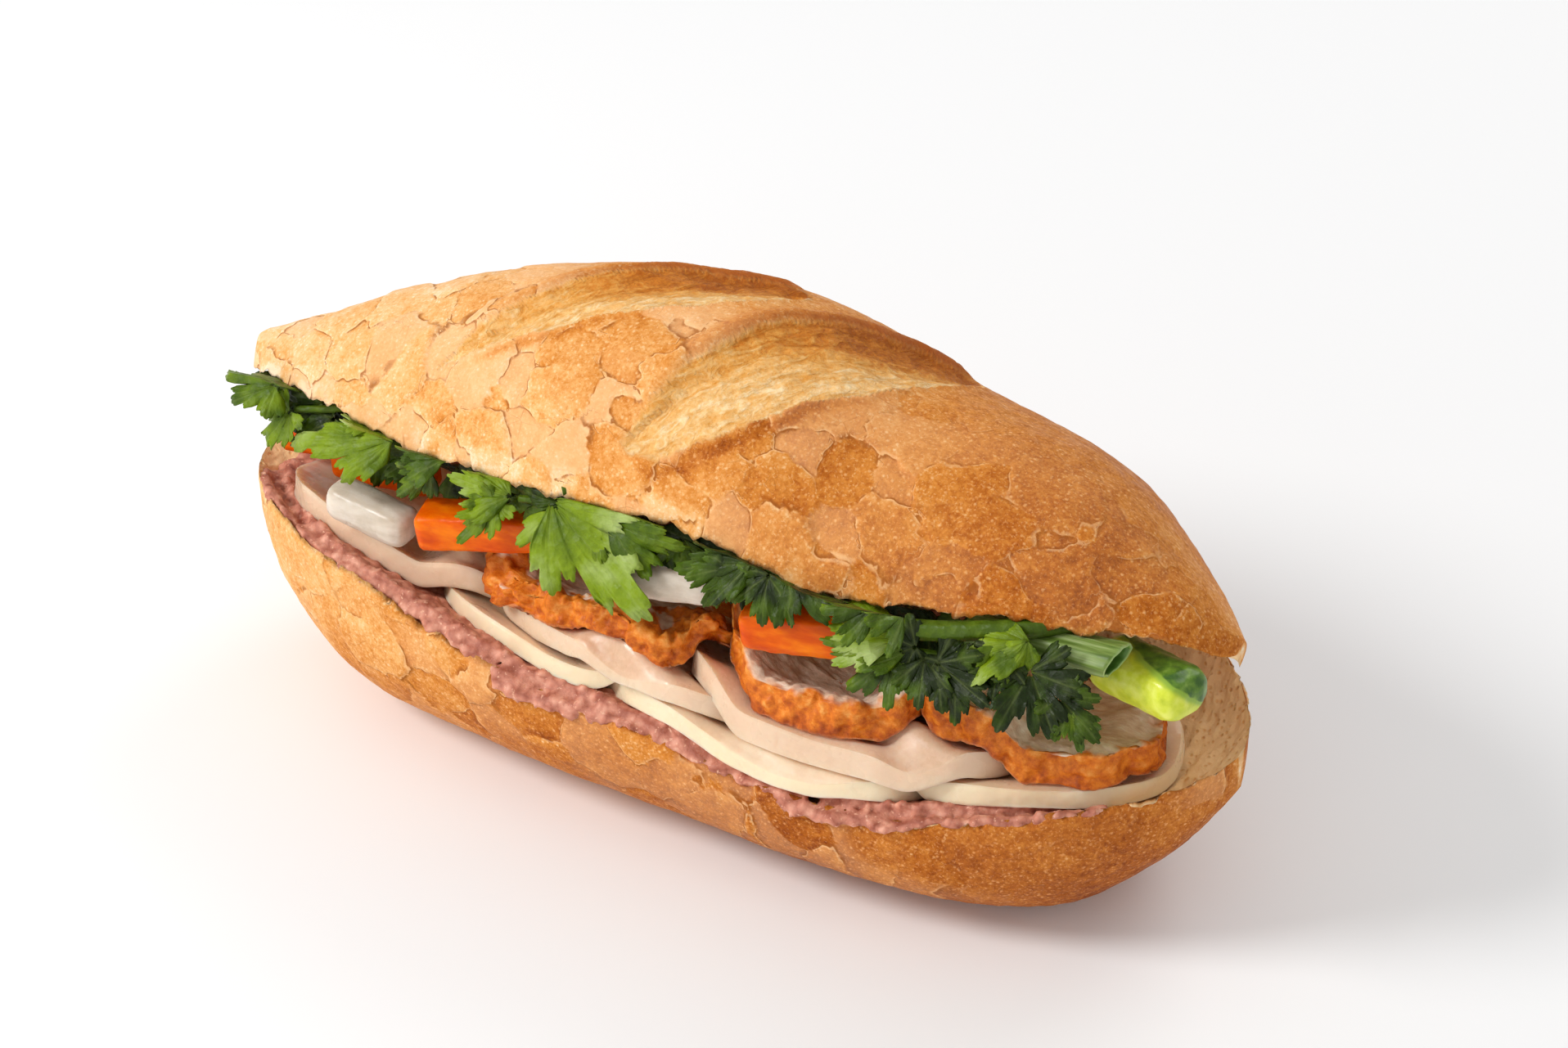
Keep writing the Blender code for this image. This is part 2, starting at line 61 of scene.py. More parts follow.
# The baker's cuts over the crown: start and end in plan, then for the front and the back of the opening its
# half width, and a power that is higher the nearer to the end it is widest.
CUTS = [
    ((-60.0, -20.0), (2.0, 21.0), (12.0, 1.6), (8.6, 1.7)),
    ((-10.0, -31.0), (38.0, 27.0), (14.2, 0.88), (9.6, 1.7)),
]


def smooth_line(points):
    """A function of x through the points, by a cubic that doesn't overshoot between them."""
    xs, ys = (np.array(c, float) for c in zip(*points))
    steps = np.diff(ys) / np.diff(xs)
    slopes = np.zeros(len(xs))
    slopes[0], slopes[-1] = steps[0], steps[-1]
    for i in range(1, len(xs) - 1):
        if steps[i - 1] * steps[i] > 0:
            slopes[i] = 2 * steps[i - 1] * steps[i] / (steps[i - 1] + steps[i])

    def value(x):
        x = np.clip(x, xs[0], xs[-1])
        i = np.clip(np.searchsorted(xs, x) - 1, 0, len(xs) - 2)
        width = xs[i + 1] - xs[i]
        u = (x - xs[i]) / width
        return (
            ys[i] * (1 + 2 * u) * (1 - u) ** 2
            + ys[i + 1] * (3 - 2 * u) * u**2
            + width * u * (1 - u) * (slopes[i] * (1 - u) - slopes[i + 1] * u)
        )

    return value


bottom_front_rim = smooth_line([
    (-112.5, 42), (-98, 45), (-75, 43), (-50, 38.5), (-25, 33), (0, 31.5), (25, 28), (50, 28.5), (75, 34),
    (97, 39), (110.5, 42)])
bottom_back_rim = smooth_line([
    (-112.5, 42), (-85, 44), (-45, 46), (0, 47), (45, 46), (85, 45), (110.5, 43)])
top_front_edge = smooth_line([
    (-115, 61), (-100, 67), (-75, 69), (-50, 71.5), (-25, 75), (0, 77), (20, 75), (37, 72), (55, 73),
    (75, 75), (97, 73), (109, 66)])
top_back_gape = smooth_line([(-115, 19), (-85, 5), (-60, 0.4), (60, 0.4), (85, 8), (109, 21)])
top_dome = smooth_line([
    (-115, 6), (-100, 16), (-80, 29.5), (-55, 38.5), (-25, 41.5), (5, 40), (35, 36.5), (60, 34.5), (80, 27),
    (97, 14), (109, 4)])


def along(x, ends):
    """Where x is between two ends, from -1 to 1."""
    return (2 * np.asarray(x, float) - ends[0] - ends[1]) / (ends[1] - ends[0])


def taper(t, left, right):
    """A width that is 1 at t = 0 and nothing at t = -1 and 1, by a bluntness and a power for each side."""
    t = np.clip(t, -1, 1)
    sides = [np.maximum(1e-4, 1 - np.abs(t) ** blunt) ** exponent for blunt, exponent in (left, right)]
    return np.where(t < 0, *sides)


def signed_power(value, exponent):
    return np.sign(value) * np.abs(value) ** exponent


def side_lines(ends, middle, lean, half_width, tapers):
    """A function of x for the front and the back side of a half of the roll."""
    def sides(x):
        t = along(x, ends)
        centre = middle - lean * t**2
        half = half_width * taper(t, *tapers)
        return centre - half, centre + half

    return sides


bottom_sides = side_lines(BOTTOM_ENDS, -0.5, 5.0, 43.0, ((3.2, 0.6), (3.2, 0.62)))
top_sides = side_lines(TOP_ENDS, 1.5, 9.0, 38.5, ((1.7, 0.75), (2.2, 0.62)))


def bottom_rim(x, s):
    """Height of the bottom half's rim, from s = 0 at its front to 1 at its back."""
    return bottom_front_rim(x) * (1 - s) + bottom_back_rim(x) * s


def basin(x, y):
    """Height of the bottom half's cut face."""
    t = along(x, BOTTOM_ENDS)
    front, back = bottom_sides(x)
    s = np.clip((y - front) / (back - front), 0, 1)
    pressed = BASIN_DEPTH * (1 - np.abs(2 * s - 1) ** 3.5) * (1 - np.abs(np.clip(t, -1, 1)) ** 8)
    return bottom_rim(x, s) - pressed - 0.6 * np.maximum(0, front - y)


def crown_chord(x):
    """The back and the front end of the crown's cut face, as places across and up."""
    front, back = top_sides(x)
    return (back, basin(x, back) + top_back_gape(x)), (front, top_front_edge(x))


def crown_underside(x, y):
    """Height of the crown's cut face."""
    (back, low), (front, high) = crown_chord(x)
    s = np.clip((y - front) / (back - front), 0, 1)
    cave = CROWN_CAVE * np.sin(math.pi * s) * (1 - np.abs(np.clip(along(x, TOP_ENDS), -1, 1)) ** 6)
    return high * (1 - s) + low * s + cave


# ---------------------------------------------------------------- noise
def hashed(cells, seed):
    """A repeatable number from 0 to 1 for each whole-number cell."""
    cells = cells.astype(np.int64)
    mixed = cells[..., 0] * 73856093 ^ cells[..., 1] * 19349663 ^ cells[..., 2] * 83492791
    mixed = ((mixed ^ (seed + 1) * 40503) & 0xFFFFFFFF).astype(np.uint64)
    for shift, factor in ((15, 0x2C1B3C6D), (12, 0x297A2D39), (15, 0x1B56C4E9)):
        mixed ^= mixed >> np.uint64(shift)
        mixed = (mixed * np.uint64(factor)) & np.uint64(0xFFFFFFFF)
    return mixed.astype(float) / 0xFFFFFFFF


def noise(points, size, octaves, seed=0):
    """Smooth noise from about -1 to 1 with features of this size, and finer ones over them."""
    total, weight = 0.0, 1.0
    for octave in range(octaves):
        p = np.asarray(points, float) / size * 2**octave + 17.3 * octave
        cell = np.floor(p)
        part = p - cell
        part = part**3 * (part * (part * 6 - 15) + 10)
        value = 0.0
        for corner in itertools.product((0, 1), repeat=3):
            share = np.prod(np.where(corner, part, 1 - part), axis=-1)
            value = value + share * hashed(cell + corner, seed + 31 * octave)
        total = total + weight * (2 * value - 1)
        weight *= 0.5
    return total


def wander(points, size, reach, octaves, seed):
    """The points, each moved by noise of this size and reach."""
    moves = [noise(points, size, octaves, seed + 101 * k) for k in range(3)]
    return points + reach * np.stack(moves, axis=-1)


def cells(points, size, seed, weight):
    """For each point its two nearest seeds, their numbers, and how far it is from the border between them.

    A seed with a higher number reaches farther, by up to the weight, so that its cell bulges over the others.
    Last comes how much farther the third seed is, which is 0 where three cells meet.
    """
    home = np.floor(points / size)
    places, numbers, distances = [], [], []
    for way in itertools.product((-1, 0, 1), repeat=3):
        cell = home + way
        places.append((cell + np.stack([hashed(cell, seed + k) for k in range(3)], axis=-1)) * size)
        numbers.append(hashed(cell, seed + 7))
        distances.append(np.linalg.norm(places[-1] - points, axis=-1) - weight * numbers[-1])
    order = np.argsort(distances, axis=0)[:3]
    near, numbers = (np.take_along_axis(np.array(c), order, 0) for c in (distances, numbers))
    places = np.take_along_axis(np.array(places), order[..., None], 0)
    return places[:2], numbers[:2], (near[1] - near[0]) / 2, (near[2] - near[1]) / 2


def step(value, low, high):
    """0 below low, 1 above high, and smooth between."""
    t = np.clip((value - low) / (high - low), 0, 1)
    return t * t * (3 - 2 * t)


# ---------------------------------------------------------------- meshes
def own_shift():
    """How far the frame's origin is from the design's, from the box of the bottom half."""
    low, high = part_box("bread_bottom")
    front, back = bottom_sides(np.linspace(*BOTTOM_ENDS, 400))
    middle, half = (front + back) / 2, (back - front) / 2 * SIDE_SWELL
    y = ((middle - half).min() + (middle + half).max()) / 2
    centre = (low + high) / 2 / MM
    return np.array((centre.x - sum(BOTTOM_ENDS) / 2, centre.y - y, 0.0))


SHIFT = own_shift()


def linked(name, data):
    """A new object in the scene."""
    obj = bpy.data.objects.new(name, data)
    bpy.context.scene.collection.objects.link(obj)
    return obj


def add_piece(name, points, faces, material, slot, nodes, attributes=None, sharp=None):
    """A mesh from points in millimetres, which rides on the sandwich and stands for some CAD nodes."""
    mesh = bpy.data.meshes.new(name)
    mesh.from_pydata(((points + SHIFT) * MM).tolist(), [], faces)
    mesh.materials.append(material)
    for key, values in (attributes or {}).items():
        mesh.attributes.new(key, "FLOAT", "POINT").data.foreach_set("value", np.asarray(values, np.float32))
    mesh.shade_smooth()
    if sharp:
        mesh.set_sharp_from_angle(angle=math.radians(sharp))
    obj = linked(name, mesh)
    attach(obj, "root")
    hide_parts(*nodes)
    return obj


def node_mesh(name):
    """A CAD node's points in millimetres and its triangles, with shared corners joined."""
    bm = bmesh.new()
    bm.from_mesh(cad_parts[name].data)
    bmesh.ops.remove_doubles(bm, verts=bm.verts, dist=1e-6)
    bmesh.ops.recalc_face_normals(bm, faces=bm.faces)
    points = np.array([v.co for v in bm.verts]) / MM - SHIFT
    faces = [[v.index for v in f.verts] for f in bm.faces]
    bm.free()
    return points, faces


def circle(count):
    """Turns round a circle, in radians."""
    return np.linspace(0, 2 * math.pi, count, endpoint=False)


def joined(parts):
    """Several meshes, each as points and faces, as one."""
    points, faces, count = [], [], 0
    for some, corners in parts:
        faces += [[c + count for c in face] for face in corners]
        points.append(some)
        count += len(some)
    return np.concatenate(points), faces


def remeshed(parts, voxel, smooth):
    """One skin round several closed meshes, with faces of about the voxel's size: points, normals, faces."""
    points, faces = joined(parts)
    mesh = bpy.data.meshes.new("rough")
    mesh.from_pydata(points.tolist(), [], faces)
    obj = linked("rough", mesh)
    remesh = obj.modifiers.new("remesh", "REMESH")
    remesh.mode = "VOXEL"
    remesh.voxel_size = voxel
    obj.modifiers.new("soften", "SMOOTH").iterations = smooth
    made = obj.evaluated_get(bpy.context.evaluated_depsgraph_get()).to_mesh()
    read = []
    for key in ("co", "normal"):
        values = np.zeros(len(made.vertices) * 3)
        made.vertices.foreach_get(key, values)
        read.append(values.reshape(-1, 3))
    faces = [list(p.vertices) for p in made.polygons]
    bpy.data.objects.remove(obj)
    bpy.data.meshes.remove(mesh)
    return (*read, faces)


def grid_faces(rows, columns, closed=False):
    """Quads between points that lie in rows. Closed joins each row's end to its start."""
    i, j = np.meshgrid(np.arange(rows - 1), np.arange(columns - (not closed)), indexing="ij")
    k = (j + 1) % columns
    corners = (i * columns + j, i * columns + k, (i + 1) * columns + k, (i + 1) * columns + j)
    return np.stack(corners, axis=-1).reshape(-1, 4).tolist()


def closed_tube(rings):
    """Points and faces of a closed skin through rings (rows, columns, 3), with a fan at each end."""
    rows, columns = rings.shape[:2]
    points = np.concatenate([rings.reshape(-1, 3), rings[:1].mean(1), rings[-1:].mean(1)])
    faces = grid_faces(rows, columns, closed=True)
    first, last = rows * columns, rows * columns + 1
    for j in range(columns):
        k = (j + 1) % columns
        faces.append([first, k, j])
        faces.append([last, first - columns + j, first - columns + k])
    return points, faces


def grid_normals(rings):
    """Normals of rings that close round themselves."""
    rows = np.gradient(rings, axis=0)
    around = (np.roll(rings, -1, axis=1) - np.roll(rings, 1, axis=1)) / 2
    normals = np.cross(around, rows)
    return normals / np.maximum(np.linalg.norm(normals, axis=-1, keepdims=True), 1e-9)


def add_skin(name, rings, material, slot, nodes, attributes, last=None, sharp=None):
    """A closed skin through rings. An attribute is 0 at the first end's middle, and as given at the last."""
    points, faces = closed_tube(rings)
    whole = np.ones(rings.shape[:2])
    for key, values in attributes.items():
        attributes[key] = np.append((values * whole).ravel(), (0, (last or {}).get(key, 0)))
    add_piece(name, points, faces, material, slot, nodes, attributes, sharp)


# ---------------------------------------------------------------- materials
class Look:
    """A material whose nodes are added one call at a time."""

    def __init__(self, name, roughness, gloss=0.5, coat=0.0, coat_roughness=0.1):
        self.material = bpy.data.materials.new(name)
        self.material.use_nodes = True
        self.tree = self.material.node_tree
        self.inputs = self.tree.nodes["Principled BSDF"].inputs
        self.feed(self.inputs, {"Roughness": roughness, "Specular IOR Level": gloss,
                                "Coat Weight": coat, "Coat Roughness": coat_roughness})
        self.place = self.node("ShaderNodeTexCoord").outputs["Object"]

    def feed(self, inputs, values):
        """Sets sockets to values, or links them to other nodes' sockets."""
        for key, value in values.items():
            if isinstance(value, bpy.types.NodeSocket):
                self.tree.links.new(value, inputs[key])
            else:
                inputs[key].default_value = (*value, 1.0) if inputs[key].type == "RGBA" else value

    def node(self, kind, values=None, **settings):
        made = self.tree.nodes.new(kind)
        for key, value in settings.items():
            setattr(made, key, value)
        self.feed(made.inputs, values or {})
        return made

    def math(self, operation, a, b):
        return self.node("ShaderNodeMath", {0: a, 1: b}, operation=operation).outputs[0]

    def times(self, a, b):
        return self.math("MULTIPLY", a, b)

    def plus(self, a, b):
        return self.math("ADD", a, b)

    def minus(self, a, b):
        return self.math("SUBTRACT", a, b)

    def between(self, value, low, high, to_low=0.0, to_high=1.0):
        """Maps low to high onto to_low to to_high, smoothly, and no further."""
        values = {"Value": value, "From Min": low, "From Max": high, "To Min": to_low, "To Max": to_high}
        return self.node("ShaderNodeMapRange", values, interpolation_type="SMOOTHSTEP").outputs[0]

    def noise(self, size, detail, roughness=0.55, stretch=None, turn=0.0, distortion=0.0):
        """Noise from 0 to 1 whose features are about this many millimetres, first turned by some degrees."""
        place = self.place
        if stretch:
            turn = (0, 0, math.radians(turn))
            for values in ({"Rotation": turn}, {"Scale": stretch}):
                place = self.node("ShaderNodeMapping", {"Vector": place, **values}).outputs[0]
        values = {"Vector": place, "Scale": 1 / (size * MM), "Detail": detail, "Roughness": roughness,
                  "Distortion": distortion}
        return self.node("ShaderNodeTexNoise", values).outputs["Fac"]

    def dots(self, size, feature="F1"):
        return self.node("ShaderNodeTexVoronoi", {"Vector": self.place, "Scale": 1 / (size * MM)},
                         feature=feature).outputs

    def stored(self, name):
        return self.node("ShaderNodeAttribute", attribute_name=name).outputs["Fac"]

    def mix(self, share, a, b):
        return self.node("ShaderNodeMix", {0: share, 6: a, 7: b}, data_type="RGBA").outputs[2]

    def ramp(self, value, *stops):
        """A colour for the value, by stops that each have a place from 0 to 1 and a colour."""
        made = self.node("ShaderNodeValToRGB", {"Fac": value})
        line = made.color_ramp.elements
        while len(line) < len(stops):
            line.new(0.5)
        for element, (place, *colour) in zip(line, stops):
            element.position = place
            element.color = (*colour, 1.0)
        return made.outputs[0]

    def bump(self, height, distance, strength):
        """Relief of this many millimetres for a height of 1."""
        values = {"Height": height, "Distance": distance * MM, "Strength": strength}
        if self.inputs["Normal"].is_linked:
            values["Normal"] = self.inputs["Normal"].links[0].from_socket
        self.feed(self.inputs, {"Normal": self.node("ShaderNodeBump", values).outputs[0]})

    def colour(self, value):
        self.feed(self.inputs, {"Base Color": value})

    def rough(self, value):
        self.feed(self.inputs, {"Roughness": value})

    def soft(self, weight, reach, colour=(1.0, 0.6, 0.4)):
        """Light that spreads under the surface, over this many millimetres."""
        self.feed(self.inputs, {"Subsurface Weight": weight, "Subsurface Radius": colour,
                                "Subsurface Scale": reach * MM})


def crust_look():
    look = Look("crust", 0.5, gloss=0.07)
    # Small pale blisters and grains, all over.
    blister = look.dots(1.3)
    spot = look.times(look.between(blister["Color"], 0.35, 0.60), look.between(blister["Distance"], 0.36, 0.08))
    grain = look.between(look.noise(0.5, 2), 0.55, 0.70)
    spots = look.plus(look.times(spot, 0.55), look.times(grain, 0.40))
    mottled = look.minus(look.stored("bake"), look.times(spots, 0.34))
    for size, detail, reach in ((6.0, 4, 0.26), (1.9, 3, 0.40), (0.7, 2, 0.44)):
        mottled = look.plus(mottled, look.times(look.minus(look.noise(size, detail), 0.5), reach))
    pale = look.stored("pale")
    mottled = look.minus(mottled, look.times(pale, 0.11))
    crust = look.ramp(mottled, (0.0, 0.97, 0.74, 0.50), (0.2, 0.91, 0.56, 0.27), (0.4, 0.82, 0.405, 0.130),
                      (0.6, 0.67, 0.245, 0.040), (0.8, 0.46, 0.125, 0.013), (1.0, 0.24, 0.045, 0.004))
    skin = look.mix(look.times(pale, 0.48), crust, (0.86, 0.47, 0.23))
    skin = look.mix(look.times(spots, 0.22), skin, (0.98, 0.78, 0.52))
    # Borders of the flakes: under the higher one a dark crack with painted shadow, and on the higher one its
    # pale torn edge with a painted highlight.
    edge = look.stored("edge")
    frayed = look.times(look.stored("near"), look.between(look.noise(2.5, 3), 0.34, 0.52))
    crack = look.times(look.between(edge, -0.42, -0.06), look.between(edge, 0.08, -0.04))
    lip = look.times(look.between(edge, -0.02, 0.10), look.between(edge, 0.40, 0.10))
    skin = look.mix(look.times(look.times(lip, frayed), 0.42), skin, (0.97, 0.66, 0.35))
    skin = look.mix(look.times(look.times(crack, frayed), 0.85), skin, (0.33, 0.095, 0.014))
    # Hair cracks inside the flakes.
    hair = look.between(look.dots(4.2, "DISTANCE_TO_EDGE")["Distance"], 0.020, 0.004)
    hair = look.times(hair, look.between(look.noise(9, 2), 0.52, 0.66))
    skin = look.mix(look.times(hair, 0.35), skin, (0.36, 0.11, 0.02))
    # Where a cut opened, the bread inside baked pale, with fine wrinkles, and browner towards its back.
    streak = look.noise(3.0, 5, 0.62, stretch=(0.45, 1.3, 1.0), turn=-50, distortion=1.2)
    tone = look.plus(look.times(streak, 0.7), look.times(look.noise(0.8, 3, 0.6), 0.3))
    tone = look.minus(look.minus(tone, look.times(look.stored("shade"), 0.40)), 0.01)
    open_bread = look.ramp(tone, (0.06, 0.38, 0.10, 0.010), (0.22, 0.60, 0.20, 0.024),
                           (0.36, 0.76, 0.35, 0.075), (0.48, 0.86, 0.50, 0.18), (0.64, 0.97, 0.74, 0.43))
    open_share = look.stored("open")
    skin = look.mix(open_share, skin, open_bread)
    # Behind each cut, a dark line: partly the scorched ridge and partly painted shadow.
    skin = look.mix(look.stored("scorch"), skin, (0.36, 0.085, 0.010))
    # Crumb on the cut face, darker in its pores as painted shade in the holes.
    pores = look.between(look.dots(1.5)["Distance"], 0.05, 0.42)
    crumb = look.stored("crumb")
    look.colour(look.mix(crumb, skin, look.mix(pores, (0.88, 0.48, 0.19), (0.97, 0.65, 0.34))))
    dry = look.between(look.noise(3, 3), 0.3, 0.7, 0.42, 0.62)
    look.rough(look.minus(dry, look.times(open_share, 0.18)))
    look.bump(look.noise(0.6, 3), 0.12, 0.8)
    look.bump(look.noise(2.2, 3), 0.26, 0.7)
    look.bump(spots, 0.12, 0.7)
    look.bump(look.times(streak, open_share), 0.9, 1.0)
    look.bump(look.times(pores, crumb), 0.25, 1.0)
    look.soft(0.12, 2.0)
    return look.material


def flakes(points, size, seed, lift, tilt):
    """Shingled flakes: their relief, how far a point is from a border, and each flake's own number.

    The distance is above 0 on the higher side of a border and below 0 on its lower side. Next to it comes
    how much the border shows, which is 0 inside a flake, and rim, which is 1 at the edge of the higher
    flake and -1 beside it on the lower one, and fades away from the border.
    """
    warped = points
    for k, (grain, reach, octaves) in enumerate(((18, 3.0, 2), (3.5, 0.8, 2), (1.2, 0.3, 1))):
        warped = wander(warped, grain, reach, octaves, seed + (0, 5, 6)[k])
    seeds, numbers, border, spread = cells(warped, size, seed, 0.5 * size)
    heights = []
    for centre, number in zip(seeds, numbers):
        code = np.floor(np.stack([number * 1e5, number * 7e4 + 3, number * 3e4 + 9], axis=-1))
        lean = np.stack([hashed(code, k) - 0.5 for k in range(3)], axis=-1)
        heights.append(lift * number + tilt * np.sum((warped - centre) * lean, axis=-1))
    rise = heights[0] - heights[1]
    edge = border * np.sign(rise)
    marked = step(np.abs(rise), 0.02, 0.16)
    shows = marked * step(border, 1.3, 0.8) * step(noise(points, 6, 3, seed + 8), -0.60, -0.10)
    relief = heights[0] - 0.5 * rise * step(border, 0.45, 0.0) - 0.16 * shows * bell(edge, -0.25, 0.35)
    rim = np.sign(rise) * marked * np.exp(-border / 2.0) * step(spread, 0.0, 1.2)
    return relief, np.clip(edge, -2, 2), shows, rim, numbers[0]


def bell(value, middle, reach):
    return np.exp(-(((value - middle) / reach) ** 2))


def flake_number(number):
    """Another repeatable number for each flake."""
    code = np.floor(number * 1e6)
    return hashed(np.stack([code, code * 0 + 1, code * 0 + 2], axis=-1), 5)


def cut_place(points, cut):
    """Where points are on a cut: along it from 0 to 1, across it in millimetres, and its half width there."""
    start, end, *sides = cut
    way = np.subtract(end, start)
    length = np.hypot(*way)
    way = way / length
    at = points[..., :2] - np.array(start)
    u = at @ way / length
    v = at @ np.array((-way[1], way[0]))
    shares = [half * np.sin(math.pi * np.clip(u, 0, 1) ** skew) ** 0.6 for half, skew in sides]
    return u, v, np.where(v < 0, *shares)


def roll_rows(ends, rows):
    """Where rows lie from tip to tip, from -1 to 1 and as x, closer together near the tips."""
    t = np.linspace(-1, 1, rows)[:, None]
    reach = ROWS_REACH * (ends[1] - ends[0]) / 2
    return t, sum(ends) / 2 + (0.4 * t + 0.6 * np.sin(t * math.pi / 2)) * reach


def half_rings(x, y, z, first, last, count, level):
    """Rings round the crust of a half of the roll and back over its cut face, at this level.

    Next come 1 for each point on the face, and how far its columns are from the first side to the last.
    """
    share = (1 - np.cos(np.linspace(0, math.pi, count + 2)[1:-1])) / 2
    face_y = first + (last - first) * share
    y, z = np.hstack([y, face_y]), np.hstack([z, level(x, face_y)])
    rings = np.stack([np.broadcast_to(x, y.shape), y, z], axis=-1)
    is_face = np.zeros(y.shape)
    is_face[:, -count:] = 1
    return rings, is_face, share


def crown_piece(material):
    """The top half: a shingled crust with two opened cuts, and a rough crumb below."""
    rows, back_count, front_count, face_count, bend = 430, 40, 146, 24, 0.40
    t, x = roll_rows(TOP_ENDS, rows)
    (back, low), (front, high) = crown_chord(x)
    length = np.hypot(front - back, high - low)
    turns = np.append(np.linspace(0, bend, back_count, endpoint=False), np.linspace(bend, 1, front_count))
    across = (1 - signed_power(np.cos(math.pi * turns), DOME_POWER)) / 2
    rise = np.sin(math.pi * turns) ** DOME_POWER
    y = back + (front - back) * across + (high - low) / length * top_dome(x) * rise
    z = low + (high - low) * across + (back - front) / length * top_dome(x) * rise
    rings, is_face, _ = half_rings(x, y, z, front, back, face_count, crown_underside)
    place_x = rings[..., 0]
    tip = 1 - np.abs(t) ** 10

    def turned(low, high, on_face=0.0):
        """0 to 1 between two turns round the crust from its back, and another value on the cut face."""
        return np.append(step(turns, low, high), np.full(face_count, on_face))

    # How near the front edge of the crust a point is, from 0 at the crown's top to 1.
    down = turned(0.50, 0.86, 1.0)
    height, edge, shows, rim, number = flakes(rings, 11.5, 3, 0.85, 0.08)
    left, right = step(place_x, -25, -95), step(place_x, -10, 75)
    flaky = np.clip(0.10 + 0.90 * down + 0.6 * left, 0, 1) * (1 - 0.42 * right)
    open_share, shade, scorch, glow, relief = (0 * is_face for _ in range(5))
    least_width, far = 0.4, 9.0
    for k, cut in enumerate(CUTS):
        u, v, width = cut_place(rings, cut)
        ragged = v + 0.8 * noise(rings, 7, 2, 40 + k) + 0.35 * noise(rings, 1.6, 2, 50 + k)
        inside = (u > 0) & (u < 1) & (rings[..., 2] > CUTS_FROM)
        side = np.where(inside, ragged / np.maximum(width, least_width), far)
        out = (np.abs(side) - 1) * np.maximum(width, least_width)
        grown = inside * step(width, 0.6, 5.0)
        at_back, at_front = grown * (ragged > 0), grown * (ragged < 0)
        hollow = step(out, 0.35, -0.35) * inside
        open_share = np.maximum(open_share, hollow)
        # The cut is a shallow valley from its thin front lip to the ridge at its back.
        relief -= 1.5 * np.clip(1 - side**2, 0, 1) * (1 + 0.35 * side) * grown
        relief += 1.2 * bell(out, 2.4, 2.0) * at_back + 0.40 * bell(out, 0.5, 0.7) * at_front
        shade = np.maximum(shade, hollow * (0.20 + 0.80 * step(u, 0.15, 0.80)) * step(side, -0.8, 0.5))
        # Behind each cut, a dark line that grows towards its end: partly the scorched ridge and partly painted
        # shadow.
        line = bell(out, 0.9, 0.8 + 0.8 * step(u, 0.4, 0.9)) * at_back
        scorch = np.maximum(scorch, 0.95 * line * (0.15 + 0.85 * step(u, 0.15, 0.75)))
        glow = np.maximum(glow, bell(out, 1.8, 1.6) * at_front * step(u, 0.75, 0.3))
        glow = np.maximum(glow, 0.7 * bell(out, 3.0, 3.0) * at_back)
        folds = 0.50 * noise(np.stack([u * 7, v / 3.0, rings[..., 2] / 7], -1), 1.0, 3, 60 + k)
        crumpled = 0.35 * step(u, 0.5, 0.1) * noise(rings, 3.0, 2, 63)
        relief += hollow * (folds + 0.22 * noise(rings, 1.4, 2, 62) + crumpled)
    flaky = flaky * (1 - open_share)
    crust_height = flaky * height + 0.08 * noise(rings, 2.0, 2, 21) + 0.35 * noise(rings, 14, 2, 22) + relief
    crumb_height = -0.9 + 0.7 * noise(rings, 3.2, 3, 71) + 0.4 * noise(rings, 1.1, 2, 72)
    moved = rings + grid_normals(rings) * (np.where(is_face > 0, crumb_height, crust_height) * tip)[..., None]
    # The crust ends in a jagged edge, past which the crumb is drawn back.
    jag = noise(rings, 5, 3, 70) + 0.5 * noise(rings, 1.6, 2, 73) + 0.8 * (number - 0.5)
    jag = jag * turned(0.93, 1.0) * tip
    moved[..., 2] -= jag
    moved[..., 1] -= 0.3 * jag

    other = flake_number(number)
    bake = 0.46 + 0.22 * right - 0.14 * left + 0.08 * noise(rings, 24, 2, 80) + 0.12 * (other - 0.5) * flaky
    # Minus rim: painted light at the edge of each higher flake, and painted shade beside it on the lower one.
    bake += 0.10 * step(rings[..., 1], 0, 30) + 0.20 * glow - (0.14 - 0.04 * left) * flaky * rim
    bake += 0.10 * down * step(place_x, -25, 30)
    bake -= 0.27 * turned(0.955, 0.99) * step(noise(rings, 7, 2, 81), -0.35, 0.25) * (1 - 0.7 * right)
    pale = step(other, 0.50, 0.70) * (1 - 0.85 * right) * step(down + left * turned(0.30, 0.55), 0.05, 0.5)
    is_crust = 1 - is_face
    add_skin("bread_crown", moved, material, "crust", ["bread_top"], {
        "bake": bake, "pale": pale * is_crust * (1 - 0.8 * glow), "edge": edge,
        "near": shows * np.clip(1.4 * flaky, 0, 1), "open": open_share * is_crust, "shade": shade,
        "scorch": scorch * is_crust, "crumb": is_face,
    })


